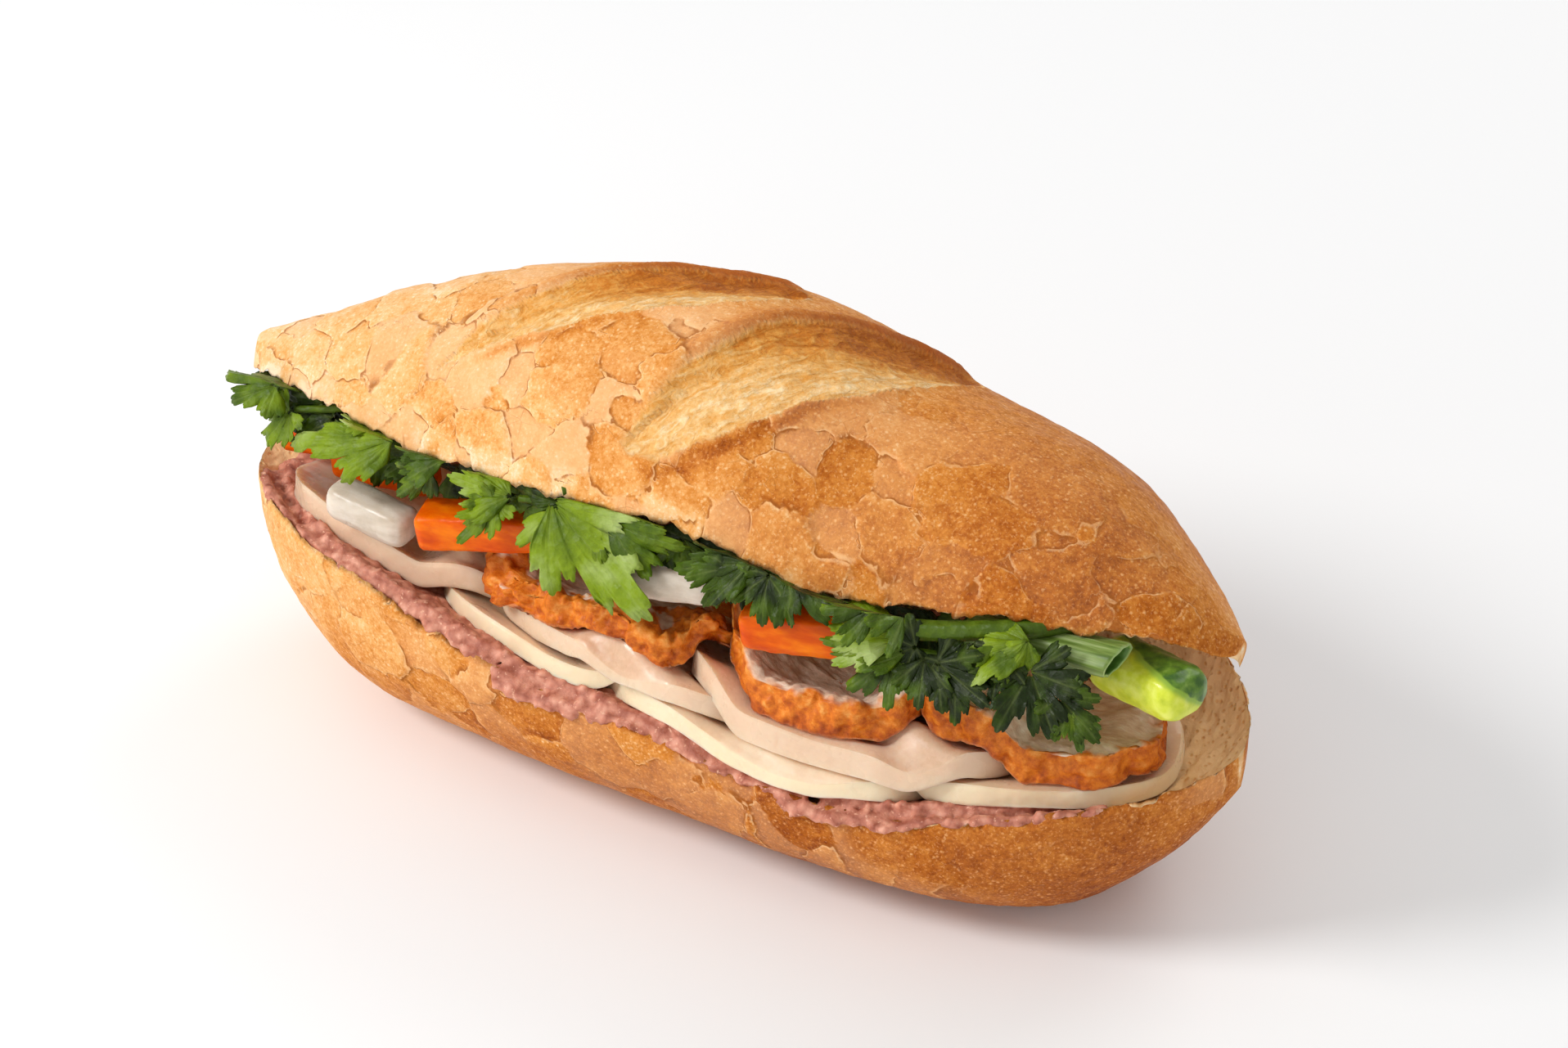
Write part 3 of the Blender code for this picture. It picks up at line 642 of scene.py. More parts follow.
def base_piece(material):
    """The bottom half: a smoother crust with some flaked patches near the rim, and the crumb inside."""
    rows, front_count, under_count, back_count, face_count = 380, 84, 16, 34, 44
    t, x = roll_rows(BOTTOM_ENDS, rows)
    front, back = bottom_sides(x)
    turns = np.concatenate([
        np.linspace(0, 0.3, front_count, endpoint=False), np.linspace(0.3, 0.72, under_count, endpoint=False),
        np.linspace(0.72, 1, back_count),
    ])
    y = (front + back) / 2 - (back - front) / 2 * SIDE_SWELL * signed_power(np.cos(math.pi * turns), SIDE_POWER)
    y[:, :1], y[:, -1:] = front, back
    rim_height = bottom_rim(x, np.clip((y - front) / (back - front), 0, 1))
    lift = np.clip((np.abs(along(x, BOTTOM_ENDS)) - BASE_LIFT_FROM) / (1 - BASE_LIFT_FROM), 0, 1) ** 2.6
    base = 0.8 * np.minimum(bottom_front_rim(x), bottom_back_rim(x)) * lift
    z = rim_height - (rim_height - base) * np.minimum(1.0, 1.06 * np.sin(math.pi * turns) ** UNDER_POWER)
    rings, is_face, inner = half_rings(x, y, z, back, front, face_count, basin)
    tip = 1 - np.abs(t) ** 10

    resting = step(rings[..., 2], 1.2, 4.0)
    height, edge, shows, rim, number = flakes(rings, 12.0, 23, 0.7, 0.06)
    near_rim = np.append(step(turns, 0.27, 0.06), np.zeros(face_count))
    patchy = step(noise(rings, 30, 2, 31) + 0.3 * step(rings[..., 0], 0, -60), -0.45, 0.15)
    flaky = (0.08 + 0.85 * near_rim * patchy) * (1 - is_face)
    crust_height = 0.10 * noise(rings, 2.2, 2, 32) + 0.45 * noise(rings, 16, 2, 33) + flaky * height
    crumb_height = -0.6 + 0.6 * noise(rings, 3.0, 3, 34) + 0.4 * noise(rings, 1.1, 2, 35)
    distance = np.where(is_face > 0, crumb_height, crust_height) * resting * tip
    moved = rings + grid_normals(rings) * distance[..., None]
    torn = np.append(step(turns, 0.05, 0.0) + step(turns, 0.96, 1.0), step(inner, 0.97, 1.0))
    moved[..., 2] += torn * tip * (0.8 * noise(rings, 5, 3, 36) + 0.4 * noise(rings, 1.5, 2, 37) - 0.2)

    other = flake_number(number)
    bake = 0.62 + 0.15 * step(rings[..., 0], -60, 60) - 0.20 * step(rings[..., 0], -40, -105)
    bake += 0.10 * noise(rings, 18, 2, 38) + 0.08 * step(rings[..., 2], 34, 8)
    # Minus rim: painted light at the edge of each higher flake, and painted shade beside it on the lower one.
    bake += 0.18 * (other - 0.5) * flaky - 0.22 * flaky * rim
    add_skin("bread_base", moved, material, "crust", ["bread_bottom"], {
        "bake": bake, "pale": flaky * step(other, 0.45, 0.6) * 0.6, "edge": edge,
        "near": shows * np.clip(1.4 * flaky, 0, 1), "open": 0, "shade": 0, "scorch": 0, "crumb": is_face,
    })


# ---------------------------------------------------------------- slices and pieces
# Heights above everything, where rays start. The rays from below start as far down.
SLICE_RAYS_FROM, PATE_RAYS_FROM = 300, 200


def blurred(values, around, along_rows=0):
    """Values on rows that close round themselves, averaged over neighbours."""
    for _ in range(around):
        values = (np.roll(values, 1, -1) + 2 * values + np.roll(values, -1, -1)) / 4
    for _ in range(along_rows):
        wide = np.pad(values, ((1, 1), (0, 0)), mode="edge")
        values = (wide[:-2] + 2 * values + wide[2:]) / 4
    return values


def slab_rings(name, columns, side, over, inset):
    """Rings over a CAD slice, from the middle of its underside round its edge to the middle of its top."""
    under, farthest, halvings, inward = 8, 120.0, 13, 0.965
    points, faces = node_mesh(name)
    tree = BVHTree.FromPolygons(points.tolist(), faces)
    middle = (points[:, :2].max(0) + points[:, :2].min(0)) / 2
    turns = circle(columns)
    ways = np.stack([np.cos(turns), np.sin(turns)], axis=-1)

    def height(place, from_top):
        way = -1 if from_top else 1
        hit = tree.ray_cast((*place, -way * SLICE_RAYS_FROM), (0, 0, way))[0]
        return np.nan if hit is None else hit.z

    reach = np.zeros(columns)
    for k, way in enumerate(ways):
        low, high = 0.0, farthest
        for _ in range(halvings):
            here = (low + high) / 2
            outside = np.isnan(height(middle + here * way, False))
            low, high = (low, here) if outside else (here, high)
        reach[k] = low
    reach = blurred(reach, 14)

    def sheet(shares, from_top, outer):
        plan = middle + (outer[:, None] * ways)[None] * shares[:, None, None]
        levels = np.array([[height(middle + (at - middle) * inward, from_top) for at in row] for row in plan])
        levels = np.where(np.isnan(levels), np.nanmean(levels), levels)
        return np.concatenate([plan, blurred(levels, 9, 2)[..., None]], axis=-1)

    lower = sheet(np.linspace(0.04, 1, under), False, reach)
    upper = sheet(np.linspace(1, 0.02, over), True, reach - inset)
    rows = np.linspace(0, 1, side + 2)[1:-1]
    wall = lower[-1] * (1 - rows[:, None, None]) + upper[0] * rows[:, None, None]
    place = np.concatenate([np.zeros(under), rows, np.linspace(1, 2, over)])
    return np.concatenate([lower, wall, upper]), place[:, None]


def slice_piece(name, material, slot, seed):
    """A cold cut with a crisp edge, draped as its CAD solid is."""
    rings, place = slab_rings(name, columns=260, side=9, over=24, inset=0.7)
    on_side = (place > 0) & (place < 1)
    lump = 0.35 * noise(rings, 11, 2, seed) + 0.10 * noise(rings, 2.2, 2, seed + 1)
    rings = rings + grid_normals(rings) * (lump * np.where(on_side, 1.0, 0.6))[..., None]
    add_skin(name + "_cut", rings, material, slot, [name], {"side": on_side}, sharp=50)


def roast_piece(name, material, seed, torn):
    """A piece of roast pork: a rough crust round fibrous meat, more or less torn."""
    rings, place = slab_rings(name, columns=330, side=16, over=34, inset=0.8)
    edge = step(place, -0.1, 0.1) * step(place, 1.5 + 0.4 * torn, 1.05)
    fibre = noise(rings * np.array((0.35, 1.0, 1.0)), 2.0, 3, seed)
    rough = (0.9 + 0.6 * torn) * noise(rings, 5.5, 3, seed + 1)
    rough = rough + (0.45 + 0.35 * torn) * noise(rings, 1.6, 2, seed + 2)
    lump = edge * rough + (1 - edge) * (0.35 * fibre + 0.5 * noise(rings, 9, 2, seed))
    rings = rings + grid_normals(rings) * lump[..., None]
    ragged = place + (0.10 + 0.35 * torn) * noise(rings, 4, 3, seed + 3)
    covered = 1.0 + 0.35 * torn
    rind = step(place, -0.15, 0.05) * step(ragged, covered + 0.1, covered)
    attributes = {"rind": rind, "high": np.clip(place, 0, 1)}
    last = {"rind": 1 - torn, "high": 1}
    add_skin(name + "_meat", rings, material, "roast_pork", [name], attributes, last)


def baton_piece(name, material, slot, seed, smooth):
    """A pickled stick, with soft edges and slightly uneven faces."""
    points, normals, faces = remeshed([node_mesh(name)], voxel=0.5, smooth=smooth)
    lump = 0.14 * noise(points, 4, 2, seed) + 0.042 * noise(points, 1.2, 2, seed + 1)
    add_piece(name + "_piece", points + normals * lump[:, None], faces, material, slot, [name])


# Where rows of lumps of pate start and stop, and how far apart they are.
PATE_ROWS = (-107, 93, 0.55)
# How far the pate spills over the front rim, along the roll.
PATE_SPILLS = [(-40, 0), (-30, 2.2), (-14, 1.8), (-6, 0), (28, 0), (36, 2.0), (56, 1.6), (62, 0)]
# How far back from the rim the lumps of pate reach, for each lump in a row.
PATE_REACHES = (7.5, 7.5, 5.0, 1.5)


def pate_piece(material):
    """Coarse pate: the spread layer, with crumbly lumps all along its front."""
    points, faces = node_mesh("pate")
    tree = BVHTree.FromPolygons(points.tolist(), faces)
    random = np.random.default_rng(4)
    parts = [(points, faces)]
    for x in np.arange(*PATE_ROWS):
        front = bottom_sides(x)[0]
        spills = float(np.interp(x, *zip(*PATE_SPILLS)))
        inset = 0.8 * float(step(x, -30, -60))
        for reach in PATE_REACHES:
            y = front + random.uniform(inset - 0.6, reach) - spills
            hit = tree.ray_cast((x, y, PATE_RAYS_FROM), (0, 0, -1))[0]
            level = hit.z if hit else float(basin(x, y)) + 0.2
            place = (x, y, level + random.uniform(-0.9, 0.2))
            parts.append(lump_at(place, random.uniform(0.6, 1.3), random))
    points, normals, faces = remeshed(parts, voxel=0.8, smooth=1)
    grain = 0.34 * noise(points, 1.5, 2, 5) + 0.30 * noise(points, 4.5, 2, 6)
    add_piece("pate_spread", points + normals * grain[:, None], faces, material, "pate", ["pate"])


def lump_at(place, radius, random):
    """A rough little ball: points and faces."""
    bm = bmesh.new()
    bmesh.ops.create_icosphere(bm, subdivisions=1, radius=1.0)
    stretch = radius * random.uniform(0.7, 1.25, 3)
    points = np.array([v.co for v in bm.verts]) * stretch * random.uniform(0.85, 1.15, (len(bm.verts), 1))
    faces = [[v.index for v in f.verts] for f in bm.faces]
    bm.free()
    return points + np.array(place), faces


def meat_look(name, low, middle, high, side, rough, reach, gloss):
    """Cold cuts: three tones over the face, and one for the cut side."""
    look = Look(name, rough, gloss=gloss)
    tone = look.plus(look.times(look.noise(14.0, 4, 0.6), 0.75), look.times(look.noise(1.0, 3, 0.6), 0.25))
    skin = look.ramp(tone, (0.3, *low), (0.5, *middle), (0.7, *high))
    look.colour(look.mix(look.times(look.stored("side"), 0.55), skin, side))
    look.rough(look.between(look.noise(5, 3), 0.35, 0.65, rough - 0.1, rough + 0.1))
    look.bump(look.noise(0.8, 3), 0.05, 0.6)
    look.bump(look.noise(4, 2), 0.25, 0.5)
    look.soft(0.55, reach)
    return look.material


def pate_look():
    look = Look("pate", 0.5, gloss=0.25)
    # Darker towards the borders of small cells: painted shade in the crevices between crumbs, over mottling of
    # the pate's own.
    tone = look.plus(look.times(look.noise(2.4, 4), 0.6), look.times(look.dots(2.2)["Distance"], 0.5))
    skin = look.ramp(tone, (0.3, 0.80, 0.40, 0.28), (0.5, 0.62, 0.25, 0.165), (0.75, 0.36, 0.105, 0.062))
    # Pale flecks: partly paler bits of the pate and partly painted moist highlights.
    look.colour(look.mix(look.between(look.noise(0.9, 2), 0.60, 0.74), skin, (0.80, 0.44, 0.30)))
    look.bump(look.noise(0.8, 3), 0.25, 0.9)
    look.soft(0.3, 1.5)
    return look.material


def roast_look():
    look = Look("roast_pork", 0.5, gloss=0.25)
    tone = look.plus(look.noise(2.6, 5, 0.65), look.times(look.stored("high"), 0.16))
    crust = look.ramp(look.minus(tone, 0.09), (0.28, 0.34, 0.055, 0.004), (0.42, 0.55, 0.115, 0.006),
                      (0.56, 0.74, 0.20, 0.012), (0.74, 0.88, 0.38, 0.08))
    fibre = look.noise(1.6, 4, 0.6, stretch=(0.35, 1.0, 1.0))
    meat = look.ramp(fibre, (0.3, 0.66, 0.44, 0.29), (0.5, 0.84, 0.64, 0.47), (0.72, 0.94, 0.82, 0.66))
    look.colour(look.mix(look.stored("rind"), meat, crust))
    look.rough(look.between(look.noise(2, 3), 0.3, 0.7, 0.35, 0.6))
    look.bump(look.noise(0.8, 3), 0.18, 0.9)
    look.bump(fibre, 0.3, 0.8)
    look.soft(0.2, 1.5)
    return look.material


def pickle_look(name, low, middle, high, inside, rough, reach, gloss):
    """Wet batons: three tones along their grain, and the colour that light takes inside."""
    look = Look(name, rough, gloss=gloss, coat=0.08, coat_roughness=0.12)
    tone = look.noise(3.0, 4, 0.55, stretch=(0.3, 1.0, 1.0))
    look.colour(look.ramp(tone, (0.3, *low), (0.5, *middle), (0.72, *high)))
    look.rough(look.between(look.noise(3, 2), 0.3, 0.7, rough - 0.08, rough + 0.1))
    look.bump(tone, 0.18, 0.7)
    look.bump(look.noise(0.5, 2), 0.03, 0.6)
    look.soft(0.6, reach, inside)
    return look.material


def cucumber_look():
    look = Look("cucumber", 0.3, gloss=0.3, coat=0.15)
    peel = look.stored("peel")
    flesh = look.ramp(look.noise(3, 3), (0.3, 0.50, 0.58, 0.02), (0.5, 0.66, 0.72, 0.05),
                      (0.7, 0.78, 0.82, 0.14))
    flesh = look.mix(look.between(peel, 0.1, 0.5), flesh, (0.30, 0.46, 0.05))
    skin = look.ramp(look.noise(2, 4), (0.35, 0.045, 0.12, 0.012), (0.6, 0.12, 0.24, 0.02),
                     (0.75, 0.24, 0.38, 0.05))
    look.colour(look.mix(look.between(peel, 0.55, 0.7), flesh, skin))
    look.bump(look.noise(1.2, 2), 0.15, 0.6)
    look.soft(0.5, 3.0, (0.8, 1.0, 0.3))
    return look.material


def cucumber_piece(material):
    """A spear, with peel on the side that looks up and back."""
    points, normals, faces = remeshed([node_mesh("cucumber")], voxel=0.4, smooth=12)
    side = (points - (points.max(0) + points.min(0)) / 2) @ np.array((0.35, 0.55, 0.76))
    peel = step(side + 0.3 * noise(points, 3, 2, 9), 0.6, 4.6)
    points = points + normals * (0.18 * noise(points, 3, 2, 8))[:, None]
    add_piece("cucumber_piece", points, faces, material, "cucumber", ["cucumber"], {"peel": peel})


def onion_look():
    look = Look("spring_onion", 0.4, gloss=0.4)
    stripe = look.noise(0.9, 2, 0.5, stretch=(0.05, 1.0, 1.0))
    outside = look.ramp(stripe, (0.3, 0.085, 0.15, 0.015), (0.5, 0.19, 0.28, 0.055), (0.7, 0.38, 0.47, 0.19))
    skin = look.mix(look.stored("inside"), outside, (0.10, 0.22, 0.03))
    look.colour(look.mix(look.stored("rim"), skin, (0.42, 0.55, 0.22)))
    look.bump(stripe, 0.12, 0.8)
    look.soft(0.3, 1.2, (0.6, 1.0, 0.3))
    return look.material


def onion_piece(material):
    """A hollow stalk, a little flattened and cut off at a slant."""
    radius, wall, sides = 3.7, 0.7, 72
    points, _ = node_mesh("spring_onion")
    x = points[:, 0]
    start, end = points[x < x.min() + 5].mean(0), points[x > x.max() - 3].mean(0)
    length = np.linalg.norm(end - start)
    way = (end - start) / length
    across = np.cross((0, 0, 1), way)
    across /= np.linalg.norm(across)
    up = np.cross(way, across)
    a = circle(sides)[:, None]
    rings, kinds = [], []
    # Outside along to the end, over the wall's rim, and back along the inside.
    outside, rim, inside = 0, 2, 1
    for r, places, kind in ((radius, np.linspace(0, 1, 60), outside), (radius - wall / 2, [1.012], rim),
                            (radius - wall, np.linspace(1, 0.2, 30), inside)):
        for s in places:
            flat = 1 - 0.16 * s
            slant = 1.28 * np.sin(a + 0.6) * s**8
            round_way = across * np.cos(a) / flat + up * np.sin(a) * flat
            rings.append(start + way * (s * length + slant) + round_way * (r + 0.12 * np.sin(9 * a)))
            kinds.append([kind])
    rings, kinds = np.array(rings), np.array(kinds)
    rings = rings + grid_normals(rings) * (0.10 * noise(rings, 5, 2, 4))[..., None]
    add_skin("onion_stalk", rings, material, "spring_onion", ["spring_onion"],
             {"inside": kinds == inside, "rim": kinds == rim}, {"inside": 1})


# ---------------------------------------------------------------- coriander
# Lobes of a leaf: direction in degrees from its axis, half their width in degrees, and length.
BROAD = [(-98, 26, 0.68), (-50, 25, 0.90), (0, 27, 1.0), (50, 25, 0.90), (98, 26, 0.68)]
FAN = [(-48, 24, 0.88), (0, 26, 1.0), (48, 24, 0.88)]
# A large open leaf, with lobes of unlike length.
OPEN = [(-42, 23, 0.66), (0, 22, 1.0), (40, 22, 0.86)]
# Parts of a lobe, each rounded and toothed: place across it from -1 to 1, half width and height.
PARTS = [(-0.67, 0.34, 0.84), (0.0, 0.36, 1.0), (0.67, 0.34, 0.84)]
# Leaves: base, tip, which way the face looks, lobes, width, droop, fold and how pale.
# Paleness is partly each leaf's own green, higher where the paler underside shows, and partly painted shade,
# low on leaves under the crown.
LEAVES = [
    ((-98, -23, 69), (-114.5, -21, 70), (0.1, -0.8, 0.5), BROAD, 0.75, 0.1, 0.1, 0.42),
    ((-95, -23, 63.5), (-101.5, -26, 54.5), (-0.1, -0.8, 0.6), BROAD, 0.75, 0.12, 0.12, 0.5),
    ((-89, -19, 65.5), (-102, -19, 67), (0.2, -0.9, 0.2), FAN, 0.9, 0.1, 0.1, 0.15),
    ((-64, -31, 71.5), (-87.5, -34, 65.5), (0.3, -0.6, 0.8), FAN, 0.68, 0.1, -0.1, 0.66),
    ((-70, -28, 73), (-79.5, -29, 71.5), (0.3, -0.6, 0.7), FAN, 0.7, 0.1, 0.2, 0.72),
    ((-50, -33, 72.5), (-63, -35, 73.5), (0.1, -0.9, 0.4), FAN, 0.8, 0.3, 0.2, 0.38),
    ((-53, -34, 69), (-59.5, -38, 62.5), (0.3, -0.8, 0.3), FAN, 0.85, 0.25, -0.2, 0.25),
    ((-32, -37.5, 72), (-51.5, -38, 73), (0.2, -0.7, 0.7), FAN, 0.66, 0.15, 0.2, 0.62),
    ((-35, -38.5, 70), (-41, -43.5, 62), (0.2, -0.8, 0.5), BROAD, 0.72, 0.15, 0.2, 0.50),
    ((-20.5, -35.5, 73), (-37, -36, 72.5), (0.1, -0.9, 0.3), FAN, 0.62, 0.2, 0.1, 0.2),
    ((-22, -38.5, 75), (2.0, -46.5, 62.5), (0.1, -0.9, 0.5), OPEN, 1.0, 0.08, 0.1, 0.72),
    ((-21, -38, 73), (-20.5, -44.5, 60), (0.1, -0.8, 0.5), FAN, 0.78, 0.12, -0.15, 0.78),
    ((-12, -38, 73), (1, -42, 66), (0.2, -0.8, 0.5), FAN, 0.7, 0.12, 0.1, 0.55),
    ((-9.5, -38, 74), (12, -41, 75), (0.2, -0.9, 0.4), FAN, 0.62, 0.1, 0.1, 0.45),
    ((22.5, -39, 76), (7, -42.5, 71), (0.1, -0.9, 0.5), FAN, 0.7, 0.15, 0.2, 0.18),
    ((17.5, -39.5, 73.5), (14, -45, 64), (0.2, -0.9, 0.4), BROAD, 0.8, 0.15, 0.15, 0.2),
    ((26, -38.5, 74), (27.5, -44.5, 65), (0.1, -0.9, 0.4), BROAD, 0.85, 0.15, 0.15, 0.18),
    ((30.5, -38, 76.5), (43, -43, 73.5), (0.2, -0.9, 0.3), FAN, 1.1, 0.15, 0.1, 0.15),
    ((50, -41, 77), (37.5, -45, 74), (0.2, -0.8, 0.5), FAN, 1.0, 0.15, 0.2, 0.35),
    ((56, -41, 77), (48, -44, 74), (0.3, -0.9, 0.3), FAN, 1.3, 0.2, 0.2, 0.25),
    ((53.5, -38, 68.5), (36, -42.5, 71.5), (0.2, -0.5, 0.9), FAN, 0.6, 0.15, -0.3, 0.66),
    ((55.5, -39, 67), (39, -43.5, 68), (0.2, -0.6, 0.8), FAN, 0.6, 0.15, -0.2, 0.45),
    ((53.5, -39, 65.5), (45, -45.5, 57.5), (0.2, -0.8, 0.5), BROAD, 0.95, 0.15, 0.15, 0.30),
    ((59.5, -39, 67), (61.5, -45.5, 59.5), (0.2, -0.8, 0.5), FAN, 0.9, 0.15, 0.1, 0.10),
    ((62, -39, 67), (75, -43, 64), (0.2, -0.8, 0.5), BROAD, 0.8, 0.15, 0.1, 0.02),
    ((78.5, -33.5, 73.5), (62.5, -39.5, 71.5), (0.1, -0.5, 0.9), FAN, 0.55, 0.25, -0.3, 0.6),
    ((73.5, -35, 72), (71.5, -41.5, 65), (0.3, -0.8, 0.4), FAN, 0.7, 0.2, 0.3, 0.55),
    ((78, -34, 74.5), (77, -39, 67.5), (0.4, -0.7, 0.4), FAN, 0.7, 0.3, -0.3, 0.6),
    ((79.5, -35.5, 69), (88.5, -41.5, 59), (0.4, -0.8, 0.4), BROAD, 0.95, 0.12, 0.25, 0.04),
    ((86, -36.5, 66), (95.5, -38.5, 60.5), (0.4, -0.7, 0.6), BROAD, 0.9, 0.12, 0.15, 0.16),
    ((89, -37.5, 64.5), (92.5, -39.5, 57.5), (0.3, -0.7, 0.6), FAN, 0.9, 0.12, 0.1, 0.35),
    ((73, -35, 71), (75, -42, 63.5), (0.1, -0.8, 0.5), BROAD, 0.85, 0.15, 0.1, -0.04),
    ((66, -38, 67), (68.5, -44.5, 59), (0.2, -0.8, 0.5), BROAD, 0.85, 0.15, 0.1, -0.02),
    ((57, -38, 68), (48, -42, 63), (0.2, -0.8, 0.5), BROAD, 0.8, 0.15, 0.1, 0.05),
]
# Stems: the points that they pass through, and the radius at each end.
STEMS = [
    ([(-95, -21, 63), (-86, -19, 65), (-72, -12, 68)], 0.7, 0.9),
    ([(-66, -28, 70), (-58, -26, 72), (-45, -18, 72)], 0.7, 0.9),
    ([(-31, -36, 71), (-22, -34, 72), (-8, -26, 75)], 0.7, 0.9),
    ([(-21, -36, 76), (-16, -32, 77), (-6, -22, 78)], 1.0, 0.9),
    ([(50, -37, 69.5), (54, -37.5, 67.5), (57, -37, 66), (59, -36, 65.5)], 0.8, 0.8),
    ([(50, -35.5, 68.5), (62, -34, 71), (76, -29, 73.5), (84, -22, 73)], 1.9, 1.7),
    ([(57, -37, 66), (66, -36, 67.5), (78, -32, 71)], 1.0, 0.8),
    ([(15, -37, 74), (24, -35, 73), (34, -36, 70.5)], 0.7, 0.7),
]
# How thick a leaf is.
SHEET = 0.2
# Rows of points from a leaf's base to its edge, and how wide its veins are.
LEAF_ROWS, MAIN_VEIN, SIDE_VEIN = 7, 0.22, 0.20


def leaf_sheet(base, tip, facing, lobes, width, droop, fold, pale, detail, random):
    """One leaf as a bent sheet with lobed, toothed edges: points, faces, and each point's vein and tone."""
    base, tip, facing = (np.array(c, float) for c in (base, tip, facing))
    length = np.linalg.norm(tip - base)
    ahead = (tip - base) / length
    above = facing - ahead * (facing @ ahead)
    above /= np.linalg.norm(above)
    aside = np.cross(above, ahead)
    directions, halves, longs = (np.array(c, float) for c in zip(*lobes))
    directions, halves = np.radians(directions), np.radians(halves)
    longs = longs * random.uniform(0.86, 1.08, longs.size)
    columns = detail * len(lobes) + 1
    reach = np.abs(directions[0]) + halves[0]
    angle = np.linspace(-reach, reach, columns)
    offsets = (angle[:, None] - directions) / halves
    lobe = np.abs(offsets).argmin(1)
    offset = np.clip(np.take_along_axis(offsets, lobe[:, None], 1)[:, 0], -1, 1)
    sizes = random.uniform(0.86, 1.06, (len(lobes), len(PARTS)))
    parts = []
    for k, (place, wide, high) in enumerate(PARTS):
        from_middle = (offset - place) / wide
        tooth = 2 * ((1.5 * from_middle + 0.5) % 1) - 1
        teeth = 1 - 0.20 * np.abs(from_middle) ** 2.6 - 0.065 * tooth**2
        parts.append(high * sizes[lobe, k] * teeth)
    edge = longs[lobe] * np.max(parts, axis=0) * (1 - 0.40 * np.abs(offset) ** 9)
    rho = np.linspace(0.05, 1, LEAF_ROWS)[:, None] ** 0.85
    r = rho * edge
    forward, sideways = r * np.cos(angle), r * np.sin(angle) * width
    main = bell(r * length * np.abs(offset * halves[lobe]), 0, MAIN_VEIN)
    branch = (np.abs(offset) - 0.45 * np.clip((rho - 0.3) / 0.7, 0, 1)) * halves[lobe]
    branch = bell(r * length * branch, 0, SIDE_VEIN) * step(rho, 0.3, 0.5)
    vein = np.clip(main + 0.5 * branch, 0, 1)
    lift = fold * np.abs(sideways) - droop * forward * np.abs(forward)
    lift = lift - 0.05 * rho**2 * longs[lobe] * np.abs(offset) ** 1.5 - 0.008 * vein
    at = np.stack([forward, sideways, lift], -1)
    lift = lift + 0.14 * noise(at * 2.4 + random.uniform(0, 40), 1.0, 3) * rho
    points = forward[..., None] * ahead + sideways[..., None] * aside + lift[..., None] * above
    points = base + length * points
    # The crown presses down what is under it.
    x, y, z = (points[..., k] for k in range(3))
    under = crown_underside(x, y) - 0.6 + 0.5 * np.maximum(0, top_sides(x)[0] - y)
    points[..., 2] = np.where(np.abs(along(x, TOP_ENDS)) < 1, np.minimum(z, under), z)
    tone = pale + 0.22 * noise(at * 3.2 + length, 1.0, 2) + 0.16 * (rho - 0.6) - 0.12 * np.abs(offset) ** 3
    return points.reshape(-1, 3), grid_faces(LEAF_ROWS, columns), vein.ravel(), tone.ravel()


# Where the leaves behind, darkened as painted shade, start and stop along the roll, and how far apart they are.
SPARE_LEAVES = (-104, 74, 6.5)


def spare_leaves(random):
    """Leaves under the crown's edge, behind the ones that hang out, made darker as painted shade."""
    leaves = []
    for x in np.arange(*SPARE_LEAVES):
        y, z = float(top_sides(x)[0]), float(top_front_edge(x))
        base = np.array((x + random.uniform(-3, 3), y + random.uniform(3, 6), z - random.uniform(4, 6)))
        tip = base + (random.uniform(-8, 8), -random.uniform(4, 7), -random.uniform(4, 9))
        facing = (random.uniform(-0.4, 0.4), -0.7, random.uniform(0.2, 0.8))
        lobes = BROAD if random.random() < 0.5 else FAN
        # A low paleness: painted shade under the crown.
        fold, pale = random.uniform(-0.3, 0.4), random.uniform(0.0, 0.3)
        leaves.append((base, tip, facing, lobes, 0.9, 0.25, fold, pale))
    return leaves


def coriander_leaves(material):
    """The leaves that hang out, and the ones behind them darkened as painted shade, as a piece each."""
    random = np.random.default_rng(12)
    kinds = (("herb_leaves", LEAVES, 36), ("herb_leaves_behind", spare_leaves(random), 18))
    for name, leaves, detail in kinds:
        points, faces, veins, tones = zip(*(leaf_sheet(*leaf, detail, random) for leaf in leaves))
        attributes = {"vein": np.concatenate(veins), "pale": np.concatenate(tones)}
        obj = add_piece(name, *joined(zip(points, faces)), material, "coriander", ["coriander"], attributes)
        thick = obj.modifiers.new("thickness", "SOLIDIFY")
        thick.thickness = SHEET * MM
        thick.offset = 0


def smooth_path(points, count):
    """A curve through the points, as this many places."""
    points = np.array(points, float)
    ends = np.concatenate([2 * points[:1] - points[1:2], points, 2 * points[-1:] - points[-2:-1]])
    places = np.linspace(0, len(points) - 1, count)
    i = np.minimum(places.astype(int), len(points) - 2)
    t = (places - i)[:, None]
    a, b, c, d = (ends[i + k] for k in range(4))
    return 0.5 * (2 * b + (c - a) * t + (2 * a - 5 * b + 4 * c - d) * t**2 + (3 * b - a - 3 * c + d) * t**3)


def stem_rings(path, first, last):
    """Rings of a ribbed stem along a path."""
    sides, ribs, rows = 18, 6, 36
    centre = smooth_path(path, rows)
    way = np.gradient(centre, axis=0)
    way /= np.linalg.norm(way, axis=1, keepdims=True)
    across = np.cross(way, (0, 0, 1.0))
    across /= np.linalg.norm(across, axis=1, keepdims=True)
    up = np.cross(across, way)
    turn = circle(sides)
    radius = np.linspace(first, last, rows)[:, None] * (1 + 0.07 * np.cos(ribs * turn))
    across_by, up_by = (radius * np.cos(turn))[..., None], (radius * np.sin(turn))[..., None]
    return centre[:, None] + across[:, None] * across_by + up[:, None] * up_by


def add_herb(name, points, faces, material, vein, pale):
    """A piece of coriander with one tone all over."""
    attributes = {"vein": np.full(len(points), vein), "pale": np.full(len(points), pale)}
    add_piece(name, points, faces, material, "coriander", ["coriander"], attributes)


def coriander_stems(material):
    stems = joined(closed_tube(stem_rings(*stem)) for stem in STEMS)
    add_herb("herb_stems", *stems, material, 0.2, 0.35)


